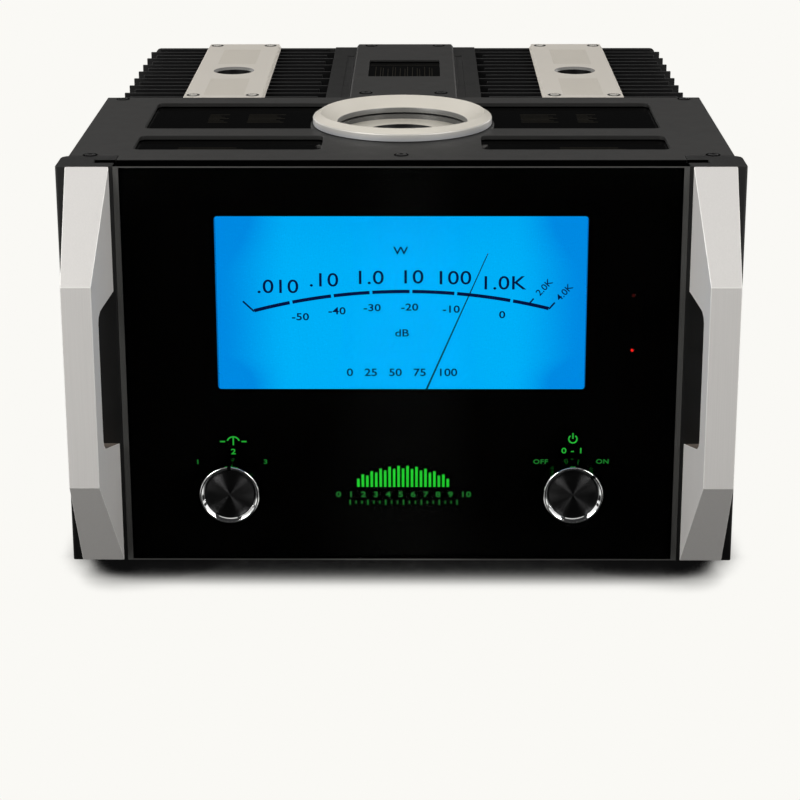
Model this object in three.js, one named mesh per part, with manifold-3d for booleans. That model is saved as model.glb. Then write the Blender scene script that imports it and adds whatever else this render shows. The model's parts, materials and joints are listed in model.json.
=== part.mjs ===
// A large single-channel audio power amplifier with a lit output meter.
// Millimetres, +X to the right seen from the front, +Y to the back, +Z up.
// The feet stand on z = 0 and the origin is under the middle of the whole.

import * as THREE from 'three';
import { mergeVertices } from 'three/addons/utils/BufferGeometryUtils.js';
import Module from 'manifold-3d';

const wasm = await Module();
wasm.setup();

// Overall size
const panelWidth = 444.5;
const panelHeight = 273;
const chassisDepth = 445;
const footHeight = 19;

// Fits and stock
const gap = 0.3;
const overrun = 1;
const sheet = 3;

// Front glass, its printed mask and the frame that holds both
const capWidth = 36.75;
const glassThickness = 5;
const trimLine = 1.2;
const maskThickness = 0.8;
const railWidth = 3.6;
const windowSideMargin = 59.8;
const windowHeight = 118.4;
const windowDrop = 34.3;
const windowCorner = 2;
const windowLip = 3;

// Cast caps at the ends of the front panel
const capDepth = 30.5;
const capCorner = 6;
const capFrontCorner = 1.5;
const slotLip = 1;
const slotWidth = 8.3;
const slotEndInset = 23.25;

// Handles
const handleReach = 41;
const handleOuterInset = 6.5;
const handleRootWidth = 28.2;
const handleFaceWidth = 19.7;
const handleTopSlope = 69;
const handleLowerSlope = 68;
const handleBarDepth = 11;
const handleFootTop = 83.5;
const handleFootBottom = 84;
const handleFootSlope = 4.8;
const handleFillet = 8;

// Meter
const pivotDrop = 196;
const needleLength = 145;
const needleTail = 20;
const needleRootWidth = 1.3;
const needleTipWidth = 0.5;
const needleThickness = 0.4;
const needleAngle = 23.1;
const needleHubRadius = 5;
const needleHubDepth = 2.4;
const spindleRadius = 1;
const spindleDepth = 5;
const weightRadius = 2.6;
const housingWall = 2;
const housingDepth = 34;
const housingBelowPivot = 26;
const housingFootHalf = 44;
const dialSetback = 9;
const dialThickness = 1.2;
const dialBelowWindow = 6;
const needleStandoff = 1;
const movementRadius = 18;
const lampBoardThickness = 1.6;
const lampBoardMargin = 5;

// Knobs and the rotary switches behind them
const knobRadius = 19.75;
const knobLength = 20;
const knobSideMargin = 67.8;
const knobBelowWindow = 65.7;
const knobSideInset = 0.5;
const knobStandoff = 0.6;
const rimDepth = 2.9;
const rimWidth = 3.3;
const rimBevel = 1.2;
const indexWidth = 2.4;
const faceDish = 0.7;
const faceEdge = 1.3;
const shaftRadius = 3;
const bushingRadius = 4.6;
const bushingLength = 2.5;
const switchSize = 26;
const switchDepth = 21;
const shaftInSwitch = 9;
const powerKnobAngle = 45;

// Indicator lights
const lightSideMargin = 29.3;
const upperLightDrop = 87.7;
const lowerLightDrop = 125.4;
const lightRadius = 1.3;
const lightBoardWidth = 18;
const lightBoardMargin = 9;
const lightPostRadius = 2.5;
const boardThickness = 1.6;
const lightBoardStandoff = 3;

// Top cover, its ring and its windows
const coverInset = 4.25;
const coverRear = 221.7;
const coverFlange = 12;
const ringCentre = 132.5;
const ringRadius = 62.3;
const ringBore = 45.2;
const ringWall = 5;
const ringChamfer = 5.3;
const ringHeight = 8.5;
const ringLip = 1.5;
const spigotDepth = 1.9;
const spigotWall = 4;
const topWindowSideMargin = 39.6;
const topWindowCorner = 5;
const frontWindowInner = 53.3;
const frontWindowStart = 49;
const frontWindowEnd = 91.4;
const rearWindowInner = 40;
const rearWindowStart = 114.6;
const rearWindowEnd = 201.5;
const rearWindowClear = 1.7;
const paneLap = 4;
const paneThickness = 2.5;

// Lined disc under the ring, on top of the power transformer
const linerLap = 6.8;
const linerWall = 3.2;
const linerRecessRadius = 26;
const linerRecess = 2;
const linerFloor = 1;
const canRadius = 64;
const canFlange = 6;
const canFlangeHeight = 4;
const canChamfer = 4;

// Heatsinks and the bright plates over them
const finSideInset = 12.25;
const finStep = 6;
const finCount = 16;
const finThickness = 2.2;
const firstFinOffset = 4;
const sinkSideInset = 88.75;
const coreWidth = 36;
const plateWidth = 60.5;
const plateTopWidth = 57;
const plateThickness = 3;
const plateFluteShares = [[1, 0], [1, 0.3], [0.62, 0.3], [0.62, 0.58], [0.3, 0.58], [0.3, 0.82], [0, 1]];
const plateCorner = 3;
const holeRadius = 15;
const holeRearInset = 117;
const holeDepth = 70;
const holeCollarWall = 0.7;
const holeCollarDepth = 8;

// Deck, raised cover and window between the heatsinks
const deckWidth = 115.4;
const deckThickness = 2;
const deckGrooveInner = 41;
const deckGrooveOuter = 46.5;
const deckGrooveDepth = 0.6;
const deckGrooveRearInset = 43;
const centreCoverWidth = 80;
const centreCoverSlope = 1.5;
const centreWindowWidth = 56;
const centreWindowLength = 69.5;
const centreWindowRearInset = 71.5;
const centreWindowCorner = 2;
const centreWindowLap = 2;

// Chassis plates
const rearBaseInset = 10;
const rearPanelInset = 14.25;
const rearPanelCorner = 4;

// Feet
const footRadius = 22;
const footTaper = 3;
const footRecess = 2;
const footRecessRadius = 9;
const footSideInset = 47.25;
const frontFootPlace = 75;
const rearFootInset = 50;

// Output transformer in the centre tunnel
const coreHalfWidth = 45;
const coreLengthShare = 0.364;
const coreHeight = 116;
const coilOverhang = 22;
const coilHalfWidth = 32;
const coilHeight = 78;
const coilCorner = 10;

// Filter capacitor boards beside the power transformer
const bankInnerShare = 0.43645;
const bankSideInset = 22.25;
const bankFront = 60;
const bankRear = 206;
const bankStandoff = 8;
const canPitchShare = 0.893;
const canHeight = 118;
const canRows = 2;
const canColumns = 2;
const bankPostRadius = 3;
const bankPostInset = 5;

// Amplifier boards on the walls of the centre tunnel
const ampBoardFront = 240;
const ampBoardRearInset = 35;
const ampBoardBottom = 158;
const ampBoardTop = 276;
const ampBoardStandoff = 4;
const ampPostRadius = 3;
const ampPostInset = 8;
const powerDeviceCount = 5;
const powerDeviceWidth = 16;
const powerDeviceHeight = 21;
const powerDeviceDepth = 5;

// Mains inlet on the rear panel
const inletRise = 51;
const inletFlangeWidth = 50;
const inletFlangeHeight = 30;
const inletFlange = 2.5;
const inletBodyWidth = 31;
const inletBodyHeight = 24;
const inletBodyDepth = 22;
const inletSocketWidth = 25;
const inletSocketHeight = 17;
const inletSocketDepth = 17;
const inletCorner = 4;
const inletPinWidth = 2;
const inletPinHeight = 4;
const inletPinLength = 14;
const inletPinSpacing = 7;
const inletPinRise = 2;

// Balanced input socket
const balancedAcross = -28;
const balancedDrop = 38;
const balancedFlangeWidth = 26;
const balancedFlangeHeight = 31;
const balancedFlange = 2;
const balancedBarrel = 11.8;
const balancedBarrelDepth = 20;
const balancedShell = 9.6;
const balancedInsert = 6.6;
const balancedDepth = 12;
const balancedPinRadius = 1.2;
const balancedPinCircle = 3.8;
const latchWidth = 6;
const latchHeight = 3;
const latchProud = 3;
const latchInside = 6;
const latchRise = 12.2;
const latchTravel = 2;

// Small signal panel with the other sockets and the slide switch
const signalAcross = 20;
const signalDrop = 38;
const signalWidth = 54;
const signalHeight = 36;
const signalThickness = 2;
const phonoAcross = -14;
const phonoRise = 7;
const phonoRadius = 4.15;
const phonoNut = 6.5;
const phonoNutDepth = 2.5;
const phonoLength = 9;
const phonoHole = 1.7;
const jackAcross = 4;
const jackPitch = 14;
const jackRadius = 4;
const jackLength = 3;
const jackHole = 1.8;
const jackDepth = 8;
const signalBodyDepth = 12;
const signalBodyMargin = 4;
const slideAcross = 4;
const slideRise = -9;
const slideSlotWidth = 12;
const slideSlotHeight = 5;
const sliderWidth = 6;
const sliderInside = 3;
const sliderProud = 3;
const slideFloor = 2;

// Speaker terminals
const terminalDrop = 135;
const terminalPlateSize = 76;
const terminalPlate = 3;
const terminalPitch = 38;
const terminalCollar = 8;
const terminalCollarDepth = 4;
const studRadius = 3;
const studProud = 25;
const studInside = 10;
const nutRadius = 8.5;
const nutLength = 14;
const nutRidges = 12;
const nutRidgeDepth = 0.7;

// How finely round shapes are cut
const smallSides = 12;
const roundSides = 24;
const ringSides = 48;
const cornerSteps = 3;

// Places worked out from the sizes above
const panelHalf = panelWidth / 2;
const panelBottom = footHeight;
const panelTop = panelBottom + panelHeight;
const glassHalf = panelHalf - capWidth - gap - railWidth - gap;
const maskFront = glassThickness + gap;
const frameFront = maskFront + maskThickness + gap;
const frameBack = frameFront + sheet;
const railInner = glassHalf + gap;
const frameHalf = railInner + railWidth;
const capInner = frameHalf + gap;
const slotFront = frameBack + slotLip;
const slotHalf = panelHalf - slotEndInset;
const lightAcross = glassHalf - lightSideMargin;
const coverFront = slotFront + slotWidth;
const coverHalf = panelHalf - coverInset;
const coverUnder = panelTop - sheet;
const topWindowOuter = coverHalf - topWindowSideMargin;
const sectionFront = capDepth + gap;
const baseTop = panelBottom + sheet;
const onBase = baseTop + gap;
const underCover = coverUnder - gap;
const windowHalf = glassHalf - windowSideMargin;
const windowTop = panelTop - windowDrop;
const windowBottom = windowTop - windowHeight;
const dialLow = windowBottom - dialBelowWindow;
const pivotHeight = panelTop - pivotDrop;
const housingFront = frameBack + gap;
const housingBack = housingFront + housingDepth;
const housingInner = windowHalf + gap + gap;
const dialFront = housingFront + dialSetback;
const dialBack = dialFront + dialThickness;
const movementFront = dialBack;
const needleBack = dialFront - needleStandoff;
const knobHeight = windowBottom - knobBelowWindow;
const knobSide = glassHalf - knobSideMargin;
const rearStart = coverRear + gap;
const rearPanelFront = chassisDepth - sheet;
const rearEnd = rearPanelFront - gap;
const sinkTop = panelTop - plateThickness - gap;
const deckHalf = deckWidth / 2;
const finInner = deckHalf + gap;
const finOuter = panelHalf - finSideInset;
const sinkCentre = panelHalf - sinkSideInset;
const holePlace = chassisDepth - holeRearInset;
const deckGrooveEnd = chassisDepth - deckGrooveRearInset;
const centreWindowEnd = chassisDepth - centreWindowRearInset;
const centreWindowStart = centreWindowEnd - centreWindowLength;
const coreLength = (rearEnd - rearStart) * coreLengthShare;
const coreFront = (rearStart + rearEnd - inletBodyDepth - coreLength) / 2;
const ampBoardRear = chassisDepth - ampBoardRearInset;
const footSide = panelHalf - footSideInset;
const rearFootPlace = chassisDepth - rearFootInset;
const bankInner = panelHalf * bankInnerShare;
const bankOuter = panelHalf - bankSideInset;
const canDiameter = ((bankOuter - bankInner) / canColumns) * canPitchShare;
const linerTop = underCover;
const linerFlange = linerTop - linerWall;
const linerRadius = ringBore + linerLap;
const linerBottom = linerFlange - linerRecess - linerFloor;
const canTop = linerBottom - gap;
const panelFace = chassisDepth + gap;
const latchReach = latchInside + latchTravel + gap;
const inletHeight = panelBottom + inletRise;
const balancedHeight = panelTop - balancedDrop;
const signalHeightPlace = panelTop - signalDrop;
const terminalHeight = panelTop - terminalDrop;
const wholeMiddle = (chassisDepth + studProud - handleReach) / 2;

// Outlines

const point = (x, y) => new THREE.Vector2(x, y);

function arc(x, y, radius, start, end, steps) {
  const points = [];
  for (let i = 0; i <= steps; i += 1) {
    const angle = THREE.MathUtils.degToRad(start + ((end - start) * i) / steps);
    points.push(point(x + radius * Math.cos(angle), y + radius * Math.sin(angle)));
  }
  return points;
}

function circle(x, y, radius, sides) {
  return arc(x, y, radius, 0, 360, sides).slice(0, sides);
}

function rectangle(left, right, low, high) {
  return [point(left, low), point(right, low), point(right, high), point(left, high)];
}

function roundedRectangle(left, right, low, high, radius) {
  return [
    ...arc(right - radius, low + radius, radius, -90, 0, cornerSteps),
    ...arc(right - radius, high - radius, radius, 0, 90, cornerSteps),
    ...arc(left + radius, high - radius, radius, 90, 180, cornerSteps),
    ...arc(left + radius, low + radius, radius, 180, 270, cornerSteps),
  ];
}

function shapeOf(outline, holes = []) {
  const shape = new THREE.Shape(outline);
  shape.holes = holes.map((hole) => new THREE.Path(hole));
  return shape;
}

// Solids from outlines: along z from a plan, along y from a front view, along x from a side view

function extruded(outline, holes, depth) {
  return new THREE.ExtrudeGeometry(shapeOf(outline, holes), { depth, bevelEnabled: false });
}

function alongZ(outline, low, high, holes = []) {
  return extruded(outline, holes, high - low).translate(0, 0, low);
}

function alongY(outline, front, back, holes = []) {
  return extruded(outline, holes, back - front).rotateX(Math.PI / 2).translate(0, back, 0);
}

function alongX(outline, left, right, holes = []) {
  const turn = new THREE.Matrix4().makeBasis(
    new THREE.Vector3(0, 1, 0),
    new THREE.Vector3(0, 0, 1),
    new THREE.Vector3(1, 0, 0),
  );
  return extruded(outline, holes, right - left).applyMatrix4(turn).translate(left, 0, 0);
}

function block(left, right, front, back, low, high) {
  return alongZ(rectangle(left, right, front, back), low, high);
}

// A round piece about the y axis, from radius and place pairs that run round the section
function turnedY(profile, sides) {
  const points = profile.map(([radius, along]) => point(radius, along));
  if (THREE.ShapeUtils.area(points) < 0) {
    points.reverse();
  }
  return new THREE.LatheGeometry(points, sides);
}

function turnedZ(profile, sides) {
  return turnedY(profile, sides).rotateX(Math.PI / 2);
}

function rod(x, z, radius, front, back, sides = smallSides) {
  return alongY(circle(x, z, radius, sides), front, back);
}

function post(x, y, radius, low, high, sides = smallSides) {
  return alongZ(circle(x, y, radius, sides), low, high);
}

// Joining and cutting

function toSolid(geometry) {
  const plain = geometry.clone();
  plain.deleteAttribute('normal');
  plain.deleteAttribute('uv');
  const merged = mergeVertices(plain);
  const corners = merged.index.array;
  const kept = [];
  for (let i = 0; i < corners.length; i += 3) {
    const [a, b, c] = [corners[i], corners[i + 1], corners[i + 2]];
    if (a !== b && b !== c && c !== a) {
      kept.push(a, b, c);
    }
  }
  return new wasm.Manifold(new wasm.Mesh({
    numProp: 3,
    vertProperties: Float32Array.from(merged.attributes.position.array),
    triVerts: Uint32Array.from(kept),
  }));
}

function toGeometry(solid) {
  const mesh = solid.getMesh();
  const geometry = new THREE.BufferGeometry();
  geometry.setAttribute('position', new THREE.BufferAttribute(mesh.vertProperties, 3));
  geometry.setIndex(new THREE.BufferAttribute(mesh.triVerts, 1));
  return geometry;
}

function join(...geometries) {
  return toGeometry(geometries.map(toSolid).reduce((whole, piece) => whole.add(piece)));
}

function cut(geometry, ...cutters) {
  return toGeometry(cutters.map(toSolid).reduce((whole, piece) => whole.subtract(piece), toSolid(geometry)));
}

function common(first, second) {
  return toGeometry(toSolid(first).intersect(toSolid(second)));
}

// The same piece for the other side
function mirrored(geometry) {
  const plain = geometry.clone();
  plain.deleteAttribute('normal');
  plain.deleteAttribute('uv');
  const other = mergeVertices(plain).scale(-1, 1, 1);
  const corners = other.index.array;
  for (let i = 0; i < corners.length; i += 3) {
    const second = corners[i + 1];
    corners[i + 1] = corners[i + 2];
    corners[i + 2] = second;
  }
  return other;
}

// Placing pieces in the whole

const amplifier = new THREE.Group();
amplifier.position.y = -wholeMiddle;

function add(name, geometry, material, parent = amplifier) {
  const mesh = new THREE.Mesh(geometry, material);
  mesh.name = name;
  parent.add(mesh);
  return mesh;
}

function addPair(name, rightGeometry, finish) {
  add(`${name}_right`, rightGeometry, finish());
  add(`${name}_left`, mirrored(rightGeometry), finish());
}

// Finishes

function finishOf(color, roughness, metalness) {
  return new THREE.MeshStandardMaterial({ color, roughness, metalness });
}

const blackGlass = () => finishOf(0x050506, 0.06, 0);
const blackPrint = () => finishOf(0x030303, 0.6, 0);
const blackPaint = () => finishOf(0x3a3938, 0.55, 0.3);
const greyAnodized = () => finishOf(0x424240, 0.45, 0.7);
const silverAnodized = () => finishOf(0xbfbcb8, 0.42, 0.85);
const plateAnodized = () => finishOf(0xc0bcb2, 0.4, 0.85);
const creamAnodized = () => finishOf(0xd6d6ce, 0.38, 0.8);
const chrome = () => finishOf(0xd8dadc, 0.12, 1);
const darkChrome = () => finishOf(0x2c2d30, 0.18, 0.9);
const spunBlack = () => finishOf(0x0c0c0d, 0.32, 0.8);
const finBlack = () => finishOf(0x111112, 0.5, 0.6);
const smokedGlass = () => finishOf(0x0a0a0b, 0.08, 0);
const litBlue = () => finishOf(0x0094f0, 0.5, 0);
const needleBlack = () => finishOf(0x0a1230, 0.4, 0.2);
const whitePlastic = () => finishOf(0xe8e8e4, 0.6, 0);
const blackPlastic = () => finishOf(0x161617, 0.5, 0);
const boardGreen = () => finishOf(0x1d4a2c, 0.5, 0.1);
const canBlack = () => finishOf(0x1b1b1c, 0.45, 0.4);
const coreSteel = () => finishOf(0x55524e, 0.5, 0.7);
const footRubber = () => finishOf(0x121212, 0.85, 0);
const nickel = () => finishOf(0xb9b7b0, 0.25, 1);
const redPlastic = () => finishOf(0x8c1410, 0.45, 0);

// Front panel

function shaftHoles(radius) {
  return [-knobSide, knobSide].map((x) => circle(x, knobHeight, radius, smallSides));
}

function lightHoles(radius) {
  const heights = [panelTop - upperLightDrop, panelTop - lowerLightDrop];
  return heights.map((z) => circle(lightAcross, z, radius, smallSides));
}

function glassOutline() {
  return rectangle(-glassHalf, glassHalf, panelBottom + trimLine, panelTop - trimLine);
}

function frontGlass() {
  return alongY(glassOutline(), 0, glassThickness, shaftHoles(shaftRadius + gap));
}

function printedMask() {
  const opening = roundedRectangle(-windowHalf, windowHalf, windowBottom, windowTop, windowCorner);
  const holes = [opening, ...shaftHoles(shaftRadius + gap), ...lightHoles(lightRadius + gap)];
  return alongY(glassOutline(), maskFront, maskFront + maskThickness, holes);
}

function frontFrame() {
  const wide = windowHalf + windowLip;
  const low = windowBottom - windowLip;
  const opening = roundedRectangle(-wide, wide, low, windowTop + windowLip, windowCorner);
  const holes = [opening, ...shaftHoles(bushingRadius + gap), ...lightHoles(lightRadius + gap)];
  const plate = alongY(rectangle(-frameHalf, frameHalf, panelBottom, panelTop), frameFront, frameBack, holes);
  const rails = [[-frameHalf, -railInner], [railInner, frameHalf]].map(
    ([left, right]) => block(left, right, 0, frameBack, panelBottom, panelTop),
  );
  const line = trimLine - gap;
  const lines = [panelBottom, panelTop - line].map(
    (z) => block(-frameHalf, frameHalf, 0, frameBack, z, z + line),
  );
  return join(plate, ...rails, ...lines);
}

function endCap() {
  const plan = [
    point(capInner, 0),
    ...arc(panelHalf - capFrontCorner, capFrontCorner, capFrontCorner, -90, 0, cornerSteps),
    ...arc(panelHalf - capCorner, capDepth - capCorner, capCorner, 0, 90, cornerSteps),
    point(capInner, capDepth),
  ];
  const pocket = block(
    capInner + sheet,
    panelHalf - sheet,
    sheet,
    capDepth + overrun,
    panelBottom + sheet,
    panelTop - sheet,
  );
  const slot = block(
    capInner - overrun,
    slotHalf,
    slotFront,
    coverFront,
    panelTop - sheet - overrun,
    panelTop + overrun,
  );
  return cut(alongZ(plan, panelBottom, panelTop), pocket, slot);
}

// Bar with two sloping ends, its inner side drawn in towards the front
function handle() {
  const outer = panelHalf - handleOuterInset;
  const root = -gap;
  const barBack = handleBarDepth - handleReach;
  const upper = panelTop - handleFootTop;
  const lower = panelBottom + handleFootBottom;
  const fillet = handleFillet;
  const corner = barBack + fillet;
  const side = [
    point(root, panelTop),
    point(-handleReach, panelTop - handleTopSlope),
    point(-handleReach, panelBottom + handleLowerSlope),
    point(root, panelBottom),
    point(root, lower),
    ...arc(corner, lower + handleFootSlope + fillet, fillet, 270, 180, cornerSteps),
    ...arc(corner, upper - handleFootSlope - fillet, fillet, 180, 90, cornerSteps),
    point(root, upper),
  ];
  const plan = [
    point(outer - handleRootWidth, root),
    point(outer - handleFaceWidth, -handleReach),
    point(outer, -handleReach),
    point(outer, root),
  ];
  const bar = alongX(side, outer - handleRootWidth - overrun, outer + overrun);
  return common(bar, alongZ(plan, panelBottom - overrun, panelTop + overrun));
}

// Meter

// Tray behind the window, drawn in below it towards the pivot
function housingOutline(inset) {
  const half = housingInner + housingWall - inset;
  const footHalf = housingFootHalf - inset;
  const low = pivotHeight - housingBelowPivot + inset;
  const high = windowTop + windowLip - inset;
  return [
    point(-footHalf, low),
    point(footHalf, low),
    point(half, dialLow),
    point(half, high),
    point(-half, high),
    point(-half, dialLow),
  ];
}

function meterHousing() {
  const shell = alongY(housingOutline(0), housingFront, housingBack);
  const inside = alongY(housingOutline(housingWall), housingFront - overrun, housingBack - housingWall);
  return cut(shell, inside);
}

function meterDial() {
  const half = housingInner - gap;
  const high = windowTop + windowLip - housingWall - gap;
  return alongY(rectangle(-half, half, dialLow, high), dialFront, dialBack);
}

// Moving-coil movement, drawn about its own pivot
function meterMovement() {
  const back = housingBack - housingWall - gap;
  const socket = spindleRadius + gap;
  const spindleEnd = movementFront + spindleDepth;
  return turnedY([
    [0, spindleEnd],
    [socket, spindleEnd],
    [socket, movementFront],
    [movementRadius, movementFront],
    [movementRadius, back],
    [0, back],
  ], roundSides);
}

function meterNeedle() {
  const front = needleBack - needleThickness;
  const blade = alongY([
    point(-needleRootWidth / 2, 0),
    point(needleRootWidth / 2, 0),
    point(needleTipWidth / 2, needleLength),
    point(-needleTipWidth / 2, needleLength),
  ], front, needleBack);
  const tail = block(-needleRootWidth / 2, needleRootWidth / 2, front, needleBack, -needleTail, 0);
  const weight = rod(0, -needleTail, weightRadius, front, needleBack);
  const hub = rod(0, 0, needleHubRadius, needleBack - needleHubDepth, needleBack);
  const spindle = rod(0, 0, spindleRadius, front, movementFront + spindleDepth - gap);
  return join(blade, tail, weight, hub, spindle);
}

function dialLightBoard() {
  const back = housingBack - housingWall - gap;
  const half = windowHalf - lampBoardMargin;
  const outline = rectangle(-half, half, windowBottom + lampBoardMargin, windowTop - lampBoardMargin);
  return alongY(outline, back - lampBoardThickness, back);
}

// Knobs, drawn about their own axis with the index at the top

const knobBack = -knobStandoff;
const knobFrontFace = -knobLength;
const rimBack = knobFrontFace + rimDepth;
const bodyFront = rimBack + gap;
const faceRadius = knobRadius - rimWidth - gap;
const shaftEnd = housingFront + shaftInSwitch;

function knobBody() {
  const side = knobRadius - knobSideInset;
  return turnedY([
    [0, shaftEnd],
    [shaftRadius, shaftEnd],
    [shaftRadius, knobBack],
    [side, knobBack],
    [side, bodyFront],
    [0, bodyFront],
  ], roundSides);
}

function knobRim() {
  const inner = knobRadius - rimWidth;
  const ring = turnedY([
    [inner, rimBack],
    [inner, knobFrontFace + rimBevel],
    [inner + rimBevel, knobFrontFace],
    [knobRadius - rimBevel, knobFrontFace],
    [knobRadius, knobFrontFace + rimBevel],
    [knobRadius, rimBack],
    [inner, rimBack],
  ], roundSides);
  const notch = block(
    -indexWidth / 2,
    indexWidth / 2,
    knobFrontFace - overrun,
    rimBack + overrun,
    inner - overrun,
    knobRadius + overrun,
  );
  return cut(ring, notch);
}

function knobFace() {
  return turnedY([
    [0, rimBack],
    [faceRadius, rimBack],
    [faceRadius, rimBack - faceEdge],
    [0, rimBack - faceEdge + faceDish],
  ], roundSides);
}

function rotarySwitch() {
  const half = switchSize / 2;
  const body = block(-half, half, housingFront, housingFront + switchDepth, -half, half);
  const bushing = rod(0, 0, bushingRadius, housingFront - bushingLength, housingFront + overrun);
  const bore = rod(0, 0, shaftRadius + gap, housingFront - bushingLength - overrun, shaftEnd + gap);
  return cut(join(body, bushing), bore);
}

// Board with the two indicator lights of the front panel
function indicatorBoard() {
  const half = lightBoardWidth / 2;
  const front = frameBack + lightBoardStandoff;
  const low = panelTop - lowerLightDrop - lightBoardMargin;
  const high = panelTop - upperLightDrop + lightBoardMargin;
  const outline = rectangle(lightAcross - half, lightAcross + half, low, high);
  const board = alongY(outline, front, front + boardThickness);
  const pieces = [board];
  for (const drop of [upperLightDrop, lowerLightDrop]) {
    pieces.push(rod(lightAcross, panelTop - drop, lightRadius, maskFront, front + overrun));
  }
  for (const z of [low + lightPostRadius, high - lightPostRadius]) {
    pieces.push(rod(lightAcross, z, lightPostRadius, frameBack + gap, front + overrun));
  }
  return join(...pieces);
}

// Chassis plates

function notchedPlan(half, front, rearHalf, rear) {
  return [
    point(-frameHalf, front),
    point(frameHalf, front),
    point(frameHalf, sectionFront),
    point(half, sectionFront),
    point(half, coverRear),
    point(rearHalf, coverRear),
    point(rearHalf, rear),
    point(-rearHalf, rear),
    point(-rearHalf, coverRear),
    point(-half, coverRear),
    point(-half, sectionFront),
    point(-frameHalf, sectionFront),
  ];
}

function bottomPlate() {
  const plan = notchedPlan(coverHalf, frameBack + gap, panelHalf - rearBaseInset, rearEnd);
  return alongZ(plan, panelBottom, baseTop);
}

function sidePanel() {
  return block(coverHalf - sheet, coverHalf, sectionFront, coverRear, onBase, underCover);
}

function bulkhead() {
  const half = coverHalf - sheet - gap;
  return block(-half, half, coverRear - sheet, coverRear, onBase, underCover);
}

// Windows of the top cover, drawn for the right side and grown all round by a margin

function frontWindow(grow) {
  return roundedRectangle(
    frontWindowInner - grow,
    topWindowOuter + grow,
    frontWindowStart - grow,
    frontWindowEnd + grow,
    topWindowCorner,
  );
}

function rearWindow(grow) {
  const inner = rearWindowInner - grow;
  const outer = topWindowOuter + grow;
  const start = rearWindowStart - grow;
  const end = rearWindowEnd + grow;
  const round = ringRadius + rearWindowClear - grow;
  const corner = topWindowCorner;
  const lowAngle = THREE.MathUtils.radToDeg(Math.asin((start - ringCentre) / round));
  const highAngle = THREE.MathUtils.radToDeg(Math.acos(inner / round));
  return [
    ...arc(outer - corner, start + corner, corner, -90, 0, cornerSteps),
    ...arc(outer - corner, end - corner, corner, 0, 90, cornerSteps),
    ...arc(inner + corner, end - corner, corner, 90, 180, cornerSteps),
    ...arc(0, ringCentre, round, highAngle, lowAngle, smallSides),
  ];
}

function otherSide(outline) {
  return outline.map(({ x, y }) => point(-x, y)).reverse();
}

function topCover() {
  const windows = [frontWindow(0), rearWindow(0)];
  const bore = circle(0, ringCentre, ringBore + spigotWall + gap, ringSides);
  const plan = [
    point(-frameHalf, coverFront),
    point(frameHalf, coverFront),
    point(frameHalf, sectionFront),
    point(coverHalf, sectionFront),
    point(coverHalf, coverRear),
    point(-coverHalf, coverRear),
    point(-coverHalf, sectionFront),
    point(-frameHalf, sectionFront),
  ];
  const top = alongZ(plan, coverUnder, panelTop, [bore, ...windows, ...windows.map(otherSide)]);
  const low = coverUnder - coverFlange;
  const flange = block(-frameHalf, frameHalf, coverFront, coverFront + sheet, low, panelTop);
  return join(top, flange);
}

function topWindow(outline) {
  return alongZ(outline(paneLap), underCover - paneThickness, underCover);
}

// Bright ring on the top cover, drawn about its own axis
function topRing() {
  const seat = panelTop + gap;
  return turnedZ([
    [ringBore, panelTop - spigotDepth],
    [ringBore, panelTop + ringLip],
    [ringRadius - ringChamfer, panelTop + ringHeight],
    [ringRadius, panelTop + ringWall],
    [ringRadius, seat],
    [ringBore + spigotWall, seat],
    [ringBore + spigotWall, panelTop - spigotDepth],
    [ringBore, panelTop - spigotDepth],
  ], ringSides);
}

function ringLiner() {
  const recess = linerFlange - linerRecess;
  return turnedZ([
    [0, recess],
    [linerRecessRadius, recess],
    [linerRecessRadius, linerFlange],
    [ringBore, linerFlange],
    [ringBore, linerTop],
    [linerRadius, linerTop],
    [linerRadius, linerBottom],
    [0, linerBottom],
  ], ringSides);
}

function powerTransformer() {
  return turnedZ([
    [0, canTop],
    [canRadius - canChamfer, canTop],
    [canRadius, canTop - canChamfer],
    [canRadius, onBase + canFlangeHeight],
    [canRadius + canFlange, onBase + canFlangeHeight],
    [canRadius + canFlange, onBase],
    [0, onBase],
  ], roundSides);
}

// Rear half

// Spine with thin fins across it, every other fin a little shorter
function heatsink() {
  const coreHalf = coreWidth / 2;
  const core = block(sinkCentre - coreHalf, sinkCentre + coreHalf, rearStart, rearEnd, onBase, sinkTop);
  const firstFin = rearStart + firstFinOffset;
  const pitch = (rearEnd - finThickness - firstFin) / (finCount - 1);
  const pieces = [core];
  for (let i = 0; i < finCount; i += 1) {
    const front = firstFin + i * pitch;
    const step = i % 2 === 0 ? 0 : finStep;
    pieces.push(block(finInner + step, finOuter - step, front, front + finThickness, onBase, sinkTop));
  }
  const bore = post(sinkCentre, holePlace, holeRadius, sinkTop - holeDepth, sinkTop + overrun, roundSides);
  return cut(join(...pieces), bore);
}

function cornerCutter(x, low, high, size) {
  const reach = size + overrun;
  const back = chassisDepth + overrun;
  const near = x - Math.sign(x) * size;
  const far = x + Math.sign(x) * overrun;
  const outline = [point(near, back), point(far, back), point(far, back - reach - overrun)];
  return alongZ(x > 0 ? outline.reverse() : outline, low - overrun, high + overrun);
}

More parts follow.
